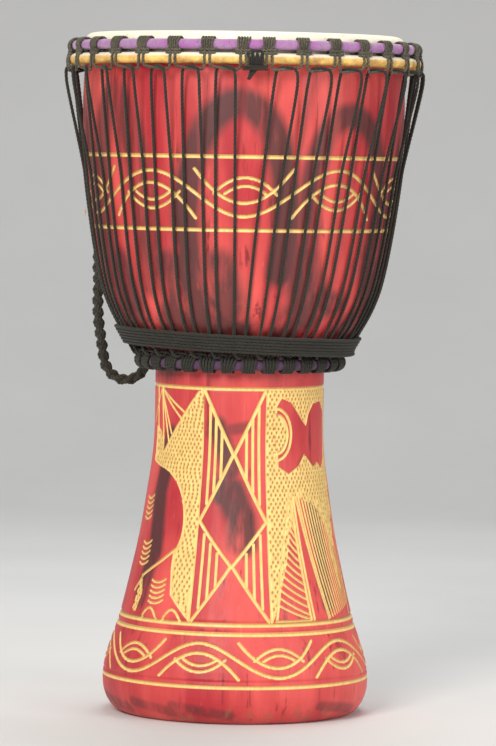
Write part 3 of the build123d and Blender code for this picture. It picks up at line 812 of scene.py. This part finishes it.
class DRUM_OT_shell(bpy.types.Operator):
    """Carve, brush and stain the wooden shell"""

    bl_idname = "drum.shell"
    bl_label = "Carved shell"

    def execute(self, context):
        sizes, colours = context.scene.drum_sizes, context.scene.drum_colours
        columns = 800
        surface = CarvedSurface(OUTSIDE_HEIGHTS, OUTSIDE_RADII, columns)
        width, depth = sizes.groove, sizes.groove_depth
        carve_wave_band(surface, BOWL_BAND, width, depth)
        carve_wave_band(surface, FOOT_BAND, width, depth)
        for turn in (-3, 177):
            carve_lozenges(surface, turn, width, depth)
            carve_leaves(surface, turn - 24, width, depth, 40 + turn)
            carve_column(surface, turn + 23.5, width, depth, 60 + turn)
        # the turned lines are drawn flat, without depth: raw wood, with painted shade on each line's upper
        # half
        for ring in RING_LINES:
            surface.cut([(angle, ring) for angle in range(0, 361, 3)], 3.2 * MM, 0.0)
        brush_darks(surface)
        rows = surface.heights[:, None] / MM
        surface.wear[:] = np.clip(1 - rows / 34, 0, 1) + 0.35 * np.exp(-(((rows - 592) / 12) ** 2))
        out_of_round = np.abs(waves(surface.angles, (5, 9, 14), 3)[None, :] * 0.25 * MM)
        carved = surface.radii[:, None] - surface.depth - out_of_round
        outer = around(carved, surface.heights[:, None], surface.angles[None, :])
        inner_heights = np.linspace(RIM_HEIGHT - 1 * MM, 0.4 * MM, 90)
        inner_radii = felt_outline(inner_heights, outward=True)
        inner = around(inner_radii[:, None], inner_heights[:, None], surface.angles[None, :])
        points = np.concatenate([outer.reshape(-1, 3), inner.reshape(-1, 3)])
        faces = grid_faces(len(outer) + len(inner), columns, True)
        blank = np.zeros((len(inner), columns))
        # the hollow's inside takes a fixed share of the dark brush colour (0.3) and of the wear colour
        # (0.9), so it comes out darker than the outside
        attributes = {
            "raw": np.vstack([surface.raw, blank]),
            "smear": np.vstack([surface.smear, blank + 0.3]),
            "wear": np.vstack([surface.wear, blank + 0.9]),
            "shade": np.vstack([surface.shade, blank]),
        }
        shell = new_piece("carved_shell", points, faces, attributes)
        dress(shell, carved_wood(colours), "drum", "stained_wood", "shell")
        return {"FINISHED"}


def skin_outline():
    """The skin's outer side from its middle over the rim, down and up round the flesh ring."""
    bend = 9.3 * MM
    outside = float(shell_radius(RIM_HEIGHT - 12 * MM)) + 1.3 * MM
    flat = [(radius, HEAD_TOP) for radius in np.linspace(4 * MM, outside - bend, 26)]
    turned = [
        (outside - bend + bend * math.sin(turn), HEAD_TOP - bend + bend * math.cos(turn))
        for turn in np.linspace(0.15, math.pi / 2, 9)
    ]
    wall_heights = np.linspace(HEAD_TOP - bend - 1.5 * MM, FLESH_HEIGHT + 7 * MM, 5)
    wall = [(outside, height) for height in wall_heights]
    away = [
        (outside + 0.9 * MM, FLESH_HEIGHT + 3.2 * MM),
        (outside + 3.0 * MM, FLESH_HEIGHT - 0.6 * MM),
        (outside + 4.9 * MM, FLESH_HEIGHT - 2.7 * MM),
    ]
    fold = [
        (FLESH_RADIUS + ROLL * math.cos(turn), FLESH_HEIGHT + ROLL * math.sin(turn))
        for turn in np.radians(np.linspace(238, 435, 22))
    ]
    return np.array(flat + turned + wall + away + fold)


def hitch_pinch(angles):
    """How much the folded roll is squeezed at the hitches, as a share of its radius."""
    hitches = FIRST_HITCH + CROWN_PITCH * np.arange(CRADLES + 1)
    off_hitch = np.abs((angles[:, None] - hitches[None, :] + 180) % 360 - 180).min(axis=1)
    return 0.17 * np.exp(-((off_hitch / 2.1) ** 2)) - 0.02


class DRUM_OT_skin(bpy.types.Operator):
    """Stretch the goat skin over the rim and fold it round the flesh ring"""

    bl_idname = "drum.skin"
    bl_label = "Skin head"

    def execute(self, context):
        columns = 540
        outline = skin_outline()
        along = np.gradient(outline, axis=0)
        along /= np.linalg.norm(along, axis=1)[:, None]
        inner = outline - np.stack([-along[:, 1], along[:, 0]], axis=1) * 0.95 * MM
        profile = np.vstack([outline, inner[::-1]])
        rows = len(profile)
        radius, height = profile[:, :1], profile[:, 1:]

        angles = np.arange(columns) / columns * 360
        pleat = waves(angles, (61, 83, 97, 131), 8)[None, :]
        low = smooth_step((FLESH_HEIGHT + 9 * MM - height) / (10 * MM))
        from_ring = profile - np.array([FLESH_RADIUS, FLESH_HEIGHT])
        on_fold = np.hypot(*from_ring.T)[:, None] < ROLL + 0.2 * MM
        pinch = on_fold * hitch_pinch(angles)[None, :]
        radii = radius + low * pleat * 0.28 * MM - from_ring[:, :1] * pinch
        heights = height - low * (pleat + 1) * 0.12 * MM - from_ring[:, 1:] * pinch

        folded = smooth_step((FLESH_HEIGHT + 5 * MM - height) / (5 * MM))
        # painted highlight: the top of the roll keeps most of the cream colour instead of the fold's gold
        highlit_top = (np.arange(rows) >= len(outline) - 8)[:, None] & (height > FLESH_HEIGHT + 2 * MM)
        folded = np.repeat(np.where(highlit_top, folded * 0.35, folded), columns, axis=1)
        points = around(radii, heights, angles[None, :]).reshape(-1, 3)
        skin = new_piece("goat_skin_head", points, grid_faces(rows, columns, True), {"folded": folded})
        close_hole(skin, rows, columns)
        dress(skin, goat_skin(context.scene.drum_colours), None, "goat_skin", "drum_skin")
        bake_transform(skin)
        return {"FINISHED"}


def close_hole(piece, rows, columns):
    """Closes the small hole at the middle of a turned sheet, on both of its faces."""
    work = bmesh.new()
    work.from_mesh(piece.data)
    work.verts.ensure_lookup_table()
    first = [work.verts[column] for column in range(columns)]
    last = [work.verts[(rows - 1) * columns + column] for column in range(columns)]
    central = [face for face in work.faces if all(v.co.xy.length < 4.3 * MM for v in face.verts)]
    bridge = [face for face in central if abs(face.normal.z) < 0.5]
    bmesh.ops.delete(work, geom=bridge, context="FACES_ONLY")
    for ring in (first, list(reversed(last))):
        height = sum(v.co.z for v in ring) / columns
        hub = work.verts.new((0, 0, height))
        for here, after in zip(ring, ring[1:] + ring[:1]):
            work.faces.new((hub, here, after)).smooth = True
    bmesh.ops.recalc_face_normals(work, faces=work.faces)
    work.to_mesh(piece.data)
    work.free()


class DRUM_OT_cloth(bpy.types.Operator):
    """Wind the mauve cloth strip round the crown ring and the lower ring"""

    bl_idname = "drum.cloth"
    bl_label = "Ring cloth"

    def execute(self, context):
        colours = context.scene.drum_colours
        along, round_bar = 1440, 28
        angle, turn = np.meshgrid(
            np.arange(along) / along * 360, np.arange(round_bar) / round_bar * 360, indexing="ij"
        )
        slope = np.radians(turn)
        crown_ring = (CROWN_RADIUS, CROWN_HEIGHT, CROWN_CLOTH)
        lower_ring = (LOWER_RADIUS, LOWER_HEIGHT, LOWER_CLOTH)
        for name, node, body, (ring, height, tube), laps, lit_share in (
            ("crown_cloth_winding", "crown_ring_cloth", "crown", crown_ring, 73, 1.0),
            # the lower ring's cloth is a darker copy (0.2): painted shade under the bowl
            ("lower_cloth_winding", "lower_ring_cloth", "drum", lower_ring, 47, 0.2),
        ):
            lap = (angle / 360 * laps + turn / 360 + 0.06 * waves(angle, (7, 13), 5)) % 1
            lift = smooth_step(lap / 0.14) * (1 - 0.55 * lap)
            crease = 0.08 * MM * (1 + waves(turn * 2 + angle * 9, (1, 3), 2))
            radius = tube - 0.42 * MM * (1 - lift) - crease
            points = around(ring + radius * np.cos(slope), height + radius * np.sin(slope), angle)
            faces = grid_faces(along, round_bar, True)[:, ::-1]
            piece = new_piece(name, points.reshape(-1, 3), faces, {"ridge": lift})
            dress(piece, wound_cloth(name + "_dye_and_shade", colours, lit_share), body, "ring_cloth", node)
        return {"FINISHED"}


# ---- lacing --------------------------------------------------------------------------


def ring_loops(ring, height, reach, angle, count, width, seed):
    """A hitch's turns, laid side by side round a ring's bar."""
    chance = np.random.default_rng(seed)
    turn = np.linspace(-150, -150 + 360 * count + 60, 22 * count)
    share = np.linspace(-0.5, 0.5, len(turn))
    fan = 1 + 0.24 * np.sin(np.radians(turn)) + 0.06 * waves(turn, (1, 2), seed)
    lean = np.sin(np.radians(turn)) * chance.uniform(-0.5, 0.9) * MM
    aside = np.degrees((share * width * fan + lean) / ring)
    return around(
        ring + reach * np.cos(np.radians(turn)), height + reach * np.sin(np.radians(turn)), angle + aside
    )


def leaning(height, bottom_angle, top_angle, bottom, top):
    """A leg's angle at a height between its two ends."""
    share = (height - bottom) / (top - bottom)
    return bottom_angle + share * (top_angle - bottom_angle)


class Lacing:
    """Where the ropes of the lacing run."""

    def __init__(self, sizes):
        self.cradle, self.tension = sizes.cradle_rope, sizes.tension_rope
        self.hook = (self.cradle + self.tension) / 2 + 0.2 * MM
        self.crown_reach = CROWN_CLOTH + 0.05 * MM + self.cradle / 2
        self.foot_reach = LOWER_CLOTH + 0.05 * MM + self.cradle / 2
        self.dropper = FLESH_RADIUS + ROLL + 0.3 * MM + self.cradle / 2
        self.cradle_radius = self.dropper - 2.1 * MM
        self.cradle_height = FLESH_HEIGHT - 11 * MM
        self.bar_height = CROWN_HEIGHT - 6 * MM
        self.bar_radius = CROWN_RADIUS + math.sqrt((self.crown_reach + 1.8 * MM) ** 2 - (6 * MM) ** 2)
        self.foot_radius = LOWER_RADIUS + 6.2 * MM
        self.foot_height = LOWER_HEIGHT + 9.8 * MM
        self.leg_bottom = self.foot_height + 1.5 * MM
        self.leg_top = self.cradle_height - 2 * MM

    def leg_radius(self, height):
        """The legs lie on the bowl's swell and hang free between its ends."""
        low = self.foot_radius + self.hook + 1.2 * MM
        high = float(shell_radius(FREE_BELOW)) + 2.6 * MM
        free = np.interp(height, [self.leg_bottom, FREE_BELOW], [low, high])
        lying = shell_radius(height) + self.tension / 2 + 0.7 * MM
        return np.maximum(np.where(height < FREE_BELOW, free, 0), lying)

    def crown_cradle(self, start, end, sag, reach):
        """Down one dropper, level between the legs and up the next, a step at the outer end."""
        foot = FLESH_HEIGHT - ROLL

        def half(hitch, way, step):
            return [
                around(self.bar_radius, self.bar_height, hitch + way * 0.8),
                around(self.dropper, FLESH_HEIGHT + 1.5 * MM, hitch + way * 0.85),
                around(self.dropper, foot - 2 * MM + 0.6 * step, hitch + way * 0.85),
                around(self.dropper - 0.6 * MM, self.cradle_height + 1.6 * MM + step, hitch + way * 1.05),
                around(self.cradle_radius, self.cradle_height + sag + 0.8 * step, hitch + way * reach),
            ]

        outer_first = math.sin(math.radians((start + end) / 2)) < 0
        steps = (2.6 * MM, 0.0) if outer_first else (0.0, 2.6 * MM)
        return rounded(half(start, 1, steps[0]) + half(end, -1, steps[1])[::-1], 2)

    def foot_cradle(self, angle):
        """Up from one lower hitch, level past a bottom turn and down to the next."""
        half = [
            (LOWER_RADIUS + 2.0 * MM, LOWER_HEIGHT + self.foot_reach - 0.4 * MM, 0.4),
            (LOWER_RADIUS + 3.6 * MM, self.foot_height - 2.0 * MM, 0.75),
            (self.foot_radius, self.foot_height, 1.7),
        ]
        far = angle + FOOT_PITCH
        points = [around(r, h, angle + a) for r, h, a in half]
        points += [around(r, h, far - a) for r, h, a in reversed(half)]
        return rounded(points, 3)

    def lace(self, step):
        """From one bottom turn up behind a cradle, over it, down in front, to the next turn."""
        chance = np.random.default_rng(900 + step)
        foot = FIRST_FOOT_TURN + step * FOOT_PITCH
        next_foot = foot + FOOT_PITCH
        up_top = FIRST_HITCH + step * CROWN_PITCH + LEG_INSET
        down_top = up_top + CROWN_PITCH - 2 * LEG_INSET
        leg_foot = LEG_INSET + 0.1
        stations = LOWER_HEIGHT + np.linspace(25 * MM, 170 * MM, 9)
        sway = 0.32 * chance.uniform(-1, 1, 2)

        def leg(bottom_angle, top_angle, amount):
            angle = leaning(stations, bottom_angle, top_angle, self.leg_bottom, self.leg_top)
            angle = angle + amount * np.sin((stations - LOWER_HEIGHT - 23 * MM) / (150 * MM) * math.pi)
            return list(around(self.leg_radius(stations), stations, angle))

        inside = self.cradle_radius - self.hook - 0.6 * MM
        outside = self.cradle_radius + self.hook + 0.9 * MM
        turn_height = self.cradle_height + self.hook + 0.4 * MM
        under = self.foot_height - self.hook - 0.3 * MM
        return rounded(
            [
                around(self.foot_radius + 0.3 * MM, under, foot),
                around(self.foot_radius - 1.4 * MM, under, foot + 1.1),
                around(self.foot_radius - self.hook - 1.0 * MM, self.leg_bottom, foot + leg_foot),
                *leg(foot + leg_foot, up_top, sway[0]),
                around(inside, self.leg_top, up_top),
                around(inside + 1.0 * MM, turn_height, up_top + 1.1),
                around(outside - 1.0 * MM, turn_height, down_top - 1.1),
                around(outside, self.leg_top, down_top),
                around(outside - 2.2 * MM, self.leg_top - 15 * MM, down_top),
                *reversed(leg(next_foot - leg_foot, down_top, sway[1])),
                around(self.foot_radius + self.hook + 1.2 * MM, self.leg_bottom, next_foot - leg_foot),
                around(self.foot_radius + 2.0 * MM, under, next_foot - 1.1),
                around(self.foot_radius + 0.3 * MM, under, next_foot),
            ],
            3,
        )


class DRUM_OT_lacing(bpy.types.Operator):
    """Lay the cradle ropes, the tension rope and the waist wrap"""

    bl_idname = "drum.lacing"
    bl_label = "Lacing"

    def execute(self, context):
        sizes, colours = context.scene.drum_sizes, context.scene.drum_colours
        lacing = Lacing(sizes)
        dark = laid_rope("dark_rope", colours, colours.rope_dust_and_highlight)
        # the crown ropes use a lighter copy of the rope, with more dust and a brighter painted highlight on
        # the strands' crowns
        dusty_highlit = laid_rope("dusty_highlit_rope", colours, [5.5 * c for c in colours.rope_dust_and_highlight])
        hitches = [FIRST_HITCH + step * CROWN_PITCH for step in range(CRADLES + 1)]
        chance = np.random.default_rng(11)
        ends = np.linspace(-2.5, 2.5, 9)
        swell = (1 - (ends / ends[-1]) ** 2) * 0.5 * MM
        lines = []
        for angle in hitches:
            for lift in (-1.25, 1.25):
                height = lacing.bar_height + lift * MM + chance.uniform(-0.3, 0.3) * MM
                lines.append(around(lacing.bar_radius - 0.2 * MM + swell, height, angle + ends))
        for start, end in zip(hitches, hitches[1:]):
            lines.append(lacing.crown_cradle(start, end, chance.uniform(0, 1.2) * MM, LEG_INSET))
        lines.append(lacing.crown_cradle(hitches[-1], FIRST_HITCH + 360, 3 * MM, 1.6))
        loops = [
            ring_loops(CROWN_RADIUS, CROWN_HEIGHT, lacing.crown_reach, angle, 5, 10.2 * MM, number)
            for number, angle in enumerate(hitches)
        ]
        cradles = rope_piece("crown_cradles", lines, sizes.cradle_rope)
        dress(cradles, dusty_highlit, "crown", "dark_rope", "upper_cradle_rope")
        hitching = rope_piece("crown_hitches", loops, sizes.cradle_rope * 0.78, lay=6 * MM)
        dress(hitching, dusty_highlit, "crown", "dark_rope", "upper_cradle_rope")

        feet = [FIRST_FOOT_TURN + (step + 0.5) * FOOT_PITCH for step in range(CRADLES)]
        lines = [
            ring_loops(LOWER_RADIUS, LOWER_HEIGHT, lacing.foot_reach, angle, 5, 12.6 * MM, 300 + number)
            for number, angle in enumerate(feet)
        ]
        lines += [lacing.foot_cradle(angle) for angle in feet]
        cradles = rope_piece("lower_cradles", lines, sizes.cradle_rope)
        dress(cradles, dark, "drum", "dark_rope", "lower_cradle_rope")

        laces = [lacing.lace(step) for step in range(CRADLES)]
        tension = rope_piece("tension_lacing", laces, sizes.tension_rope, step=1.6 * MM)
        dress(tension, dark, None, "dark_rope", "tension_rope")
        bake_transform(tension)

        wrap_turns, wrap_start = 6, -150
        turn = np.linspace(0, 360 * wrap_turns, 1300) + wrap_start
        climb = 2.7 * MM * (turn - wrap_start) / 360
        slant = -5.0 * MM * np.sin(np.radians(turn))
        height = WRAP_BOTTOM + 3.0 * MM + climb + slant + 0.35 * MM * waves(turn, (2, 5, 9), 12)
        radius = lacing.leg_radius(height) + (sizes.tension_rope + sizes.wrap_rope) / 2 + 0.1 * MM
        wrap = rope_piece("waist_wrap", [around(radius, height, turn)], sizes.wrap_rope, step=1.4 * MM)
        dress(wrap, dark, "drum", "dark_rope", "waist_wrap_rope")
        return {"FINISHED"}


class DRUM_OT_closing_tie(bpy.types.Operator):
    """Tie off the crown lacing over its one open gap"""

    bl_idname = "drum.closing_tie"
    bl_label = "Closing tie"

    def execute(self, context):
        sizes, colours = context.scene.drum_sizes, context.scene.drum_colours
        lacing = Lacing(sizes)
        middle = FIRST_HITCH - CLOSING_GAP / 2
        reach = lacing.dropper + 0.2 * MM

        def cord(*points):
            """A rounded cord through (out, up, aside), in millimetres and degrees."""
            places = [
                around(reach + out * MM, FLESH_HEIGHT + up * MM, middle + aside)
                for out, up, aside in points
            ]
            return rounded(places, 2)

        lines = []
        for number, aside in enumerate(np.linspace(-2.3, 2.1, 7)):
            lean = 0.5 if number % 2 else -0.3
            foot = (-0.8, -7, aside * 0.8)
            lines.append(cord((-1.2, 5.4, aside + lean), (0.3, 1.0, aside), (0, -3.5, aside * 0.9), foot))
        for lift in (-9.6, -7.4):
            lines.append(cord(*((2.6, lift, aside) for aside in (-4.2, -2, 0, 2, 3.6))))
        for aside in (-1.6, -0.9, -0.2, 0.4):
            lines.append(
                cord((0, -9, aside), (-0.5, -14, -1.2 + aside * 0.5), (-0.2, -18.5, -2.2 + aside * 0.15))
            )
        tie = rope_piece("closing_tie_cords", lines, 2.3 * MM)
        clean_rope = laid_rope("tie_rope", colours, [0.6 * c for c in colours.rope_dust_and_highlight])
        dress(tie, clean_rope, "crown", "dark_rope", "cradle_tie")
        return {"FINISHED"}


# ---- handle --------------------------------------------------------------------------

# The handle's own route in its upright plane: (across towards its foot, height), in metres.
HANDLE_TOP_ANGLE = -109.9
HANDLE_FOOT_ANGLE = -123.6
HANDLE_TOP_RADIUS = 0.1388
HANDLE_FOOT_RADIUS = 0.1026
HANDLE_ROUTE = (
    (0.0, 0.417),
    (-0.0008, 0.401),
    (0.0004, 0.383),
    (-0.0005, 0.365),
    (0.0007, 0.348),
    (0.0032, 0.333),
    (0.005, 0.3215),
    (0.0068, 0.3105),
    (0.012, 0.3012),
    (0.0209, 0.2956),
    (0.0314, 0.295),
    (0.0404, 0.3),
    (0.0456, 0.3074),
    (0.0464, 0.3135),
)


def handle_line():
    """The handle's centreline, read from one smooth spline through its route."""
    top = around(HANDLE_TOP_RADIUS, 0.0, HANDLE_TOP_ANGLE)
    foot = around(HANDLE_FOOT_RADIUS, 0.0, HANDLE_FOOT_ANGLE)
    curve = bpy.data.curves.new("handle_route", "CURVE")
    curve.dimensions = "3D"
    spline = curve.splines.new("NURBS")
    spline.points.add(len(HANDLE_ROUTE) - 1)
    for point, (over, height) in zip(spline.points, HANDLE_ROUTE):
        place = top + (foot - top) * over / HANDLE_ROUTE[-1][0]
        point.co = (place[0], place[1], height, 1)
    spline.order_u = 3
    spline.use_endpoint_u = True
    spline.resolution_u = 24
    guide = bpy.data.objects.new("handle_route", curve)
    bpy.context.scene.collection.objects.link(guide)
    bpy.context.view_layer.update()
    mesh = bpy.data.meshes.new_from_object(guide)
    line = np.array([vertex.co for vertex in mesh.vertices])
    bpy.data.meshes.remove(mesh)
    bpy.data.objects.remove(guide)
    bpy.data.curves.remove(curve)
    return line


def whipping(end, inward):
    """Six and a half close turns round the handle's end, drawn in at the tip."""
    inward = inward / np.linalg.norm(inward)
    side = np.cross(inward, (1.0, 0.2, 0.1))
    side /= np.linalg.norm(side)
    other = np.cross(inward, side)
    turn = np.linspace(0, 2 * math.pi * 6.5, 170)
    share = turn / turn[-1]
    tip = np.clip((share - 0.62) / 0.38, 0, 1)
    reach = 4.2 * MM * np.sqrt(np.clip(1 - tip**2, 0.02, 1))
    rise = -1.5 * MM + share * 7.2 * MM
    across = side * (reach * np.cos(turn))[:, None] + other * (reach * np.sin(turn))[:, None]
    return end + across + inward * rise[:, None]


def lashing(lacing, middle, height, reach):
    """One flat turn of cord round the legs that the handle hangs from."""
    turn = np.linspace(0, 2 * math.pi, 40)
    base = float(lacing.leg_radius(np.array([height]))[0])
    radius = base + np.where(np.cos(turn) > 0, 3.0, 0.9) * MM * np.cos(turn)
    angle = middle + np.degrees(reach / base) * np.sin(turn)
    return around(radius, height + 0.6 * MM * np.sin(2 * turn), angle)


class DRUM_OT_handle(bpy.types.Operator):
    """Braid the rope handle, whip its ends and tie them to the lacing"""

    bl_idname = "drum.handle"
    bl_label = "Rope handle"

    def execute(self, context):
        sizes, colours = context.scene.drum_sizes, context.scene.drum_colours
        line = evenly(handle_line(), 0.6 * MM)
        _, across, up = frames_along(line)
        reached = np.arange(len(line)) * np.linalg.norm(line[1] - line[0])
        strand = sizes.handle_rope * 0.54
        swing = (sizes.handle_rope - strand) / 2
        depth, plait_length = swing * 0.8, 30 * MM
        strands = []
        for number in range(3):
            phase = 2 * math.pi * (reached / plait_length + number / 3)
            sideways = across * (swing * np.sin(phase))[:, None]
            strands.append(line + sideways + up * (depth * np.sin(2 * phase))[:, None])
        braid = laid_rope("braided_rope", colours, [c * 1.5 for c in colours.rope_dust_and_highlight], 700)
        handle = rope_piece(
            "braided_handle", strands, strand, strands=4, lay=13 * MM, sides=16, step=0.8 * MM
        )

        windings = [whipping(line[0], line[0] - line[3]), whipping(line[-1], line[-1] - line[-4])]
        knots = rope_piece("handle_whippings", windings, 2.0 * MM, step=0.9 * MM)
        dress(knots, braid, "handle", "braided_rope", "handle_knots")
        dress(handle, braid, "handle", "braided_rope", "handle_rope")

        lacing = Lacing(sizes)
        top, foot = HANDLE_ROUTE[0][1], HANDLE_ROUTE[-1][1]
        ties = [
            lashing(lacing, HANDLE_TOP_ANGLE, top + 9.1 * MM, 10.0 * MM),
            lashing(lacing, HANDLE_TOP_ANGLE, top + 11.6 * MM, 10.2 * MM),
            lashing(lacing, HANDLE_TOP_ANGLE, top + 14.1 * MM, 9.8 * MM),
            lashing(lacing, HANDLE_FOOT_ANGLE, foot + 9.3 * MM, 9.5 * MM),
        ]
        lashings = rope_piece("handle_lashings", ties, 2.5 * MM)
        plain_rope = laid_rope("lashing_rope", colours, colours.rope_dust_and_highlight)
        dress(lashings, plain_rope, "drum", "dark_rope", "handle_ties")
        return {"FINISHED"}


class DRUM_OT_thread(bpy.types.Operator):
    """Tie the small pale thread on one leg"""

    bl_idname = "drum.thread"
    bl_label = "Thread knot"

    def execute(self, context):
        low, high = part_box("thread_knot")
        middle, reach = np.array((low + high) / 2), (high.z - low.z) / 2
        outward = np.array([middle[0], middle[1], 0.0])
        outward /= np.linalg.norm(outward)
        side = np.array([-outward[1], outward[0], 0.0])
        up = np.array([0.0, 0.0, 1.0])
        turn = np.linspace(0, 2 * math.pi, 90)
        trefoil = [
            np.sin(turn) + 2 * np.sin(2 * turn),
            np.cos(turn) - 2 * np.cos(2 * turn),
            -np.sin(3 * turn),
        ]
        scale, axes = reach * 0.24, (side, up, outward)
        knot = middle + sum(axis * (part * scale)[:, None] for axis, part in zip(axes, trefoil))
        tail = middle + np.outer(np.linspace(0, 1, 12), side * 1.6 * MM - up * 4 * MM)
        thread = rope_piece("pale_thread_knot", [knot, tail], 1.1 * MM, step=0.3 * MM)
        dress(thread, pale_thread_finish(), "drum", "pale_thread", "thread_knot")
        return {"FINISHED"}


class DRUM_OT_steel(bpy.types.Operator):
    """Give the hidden rings their dull steel"""

    bl_idname = "drum.steel"
    bl_label = "Steel rings"

    def execute(self, context):
        steel = plain_steel()
        for node in ("flesh_ring", "crown_ring", "lower_ring"):
            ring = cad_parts[node]
            for place in ring.material_slots:
                place.link = "OBJECT"
                place.material = steel
        return {"FINISHED"}


# ---- stage ---------------------------------------------------------------------------


def soft_lamp(name, place, target, size, power, colour=(1, 1, 1)):
    """A rectangular area lamp that faces its target."""
    lamp = bpy.data.lights.new(name, "AREA")
    lamp.shape = "RECTANGLE"
    lamp.size, lamp.size_y = size
    lamp.energy = power
    lamp.color = colour
    holder = bpy.data.objects.new(name, lamp)
    holder.location = place
    holder.rotation_euler = (Vector(target) - Vector(place)).to_track_quat("-Z", "Y").to_euler()
    bpy.context.scene.collection.objects.link(holder)


class DRUM_OT_stage(bpy.types.Operator):
    """Set the pale floor, the soft lights and the camera"""

    bl_idname = "drum.stage"
    bl_label = "Studio stage"

    def execute(self, context):
        scene = context.scene
        floor_end, bend, half_width = 2.2, 1.6, 6.0
        turns = np.radians(np.linspace(0, 90, 16))
        curve = [(floor_end + bend * math.sin(t), bend - bend * math.cos(t)) for t in turns]
        sweep = [(-half_width, 0.0)] + curve + [(floor_end + bend, 5.0)]
        points = [(x, y, z) for y, z in sweep for x in (-half_width, half_width)]
        panes = [(2 * k, 2 * k + 1, 2 * k + 3, 2 * k + 2) for k in range(len(sweep) - 1)]
        floor = new_piece("studio_floor", points, panes)
        paper = Finish("studio_paper", 0.9)
        tone = paper.mix(paper.spread(paper.noise(3), 0.3, 0.7), (0.66, 0.66, 0.65), (0.7, 0.7, 0.69))
        floor.data.materials.append(paper.finish(tone))
        world = bpy.data.worlds.new("studio_air")
        world.use_nodes = True
        air = world.node_tree.nodes["Background"]
        air.inputs["Color"].default_value = (0.9, 0.92, 0.95, 1)
        air.inputs["Strength"].default_value = 0.5
        scene.world = world
        scene.view_settings.view_transform = "Standard"
        soft_lamp("key_light", (-1.1, -2.6, 1.7), (0, 0, 0.36), (1.1, 1.3), 78, (1, 0.95, 0.88))
        soft_lamp("fill_light", (2.2, -1.9, 1.0), (0, 0, 0.3), (1.4, 1.4), 30, (1, 0.96, 0.92))
        soft_lamp("top_light", (0.2, 0.9, 2.4), (0, 0, 0.5), (1.2, 1.2), 26)

        camera = bpy.data.objects.new("camera", bpy.data.cameras.new("camera"))
        scene.collection.objects.link(camera)
        camera.data.sensor_fit = "VERTICAL"
        camera.data.angle = math.radians(9.915)
        camera.data.clip_end = 50
        level = Matrix.Rotation(math.radians(90 - 2.88), 4, "X")
        pan = Matrix.Rotation(math.radians(-0.109), 4, "Z")
        roll = Matrix.Rotation(math.radians(0.92), 4, "Z")
        camera.matrix_world = Matrix.Translation((0, -3.88, 0.501)) @ pan @ level @ roll
        scene.camera = camera
        return {"FINISHED"}


class DRUM_PT_panel(bpy.types.Panel):
    """Lists the drum's pieces in the order they are made"""

    bl_idname = "DRUM_PT_panel"
    bl_label = "Goblet Drum"
    bl_space_type = "VIEW_3D"
    bl_region_type = "UI"
    bl_category = "Drum"

    def draw(self, context):
        for group in (context.scene.drum_sizes, context.scene.drum_colours):
            for name in group.__annotations__:
                self.layout.prop(group, name)
        for piece in PIECES:
            self.layout.operator(piece.bl_idname)


PIECES = (
    DRUM_OT_stage,
    DRUM_OT_handle,
    DRUM_OT_shell,
    DRUM_OT_skin,
    DRUM_OT_cloth,
    DRUM_OT_lacing,
    DRUM_OT_closing_tie,
    DRUM_OT_thread,
    DRUM_OT_steel,
)
CLASSES = (DrumSizes, DrumColours, *PIECES, DRUM_PT_panel)


def register():
    for part in CLASSES:
        bpy.utils.register_class(part)
    bpy.types.Scene.drum_sizes = bpy.props.PointerProperty(type=DrumSizes)
    bpy.types.Scene.drum_colours = bpy.props.PointerProperty(type=DrumColours)


def unregister():
    del bpy.types.Scene.drum_colours
    del bpy.types.Scene.drum_sizes
    for part in reversed(CLASSES):
        bpy.utils.unregister_class(part)


def main():
    register()
    for piece in PIECES:
        group, name = piece.bl_idname.split(".")
        getattr(getattr(bpy.ops, group), name)()


if __name__ == "__main__":
    main()
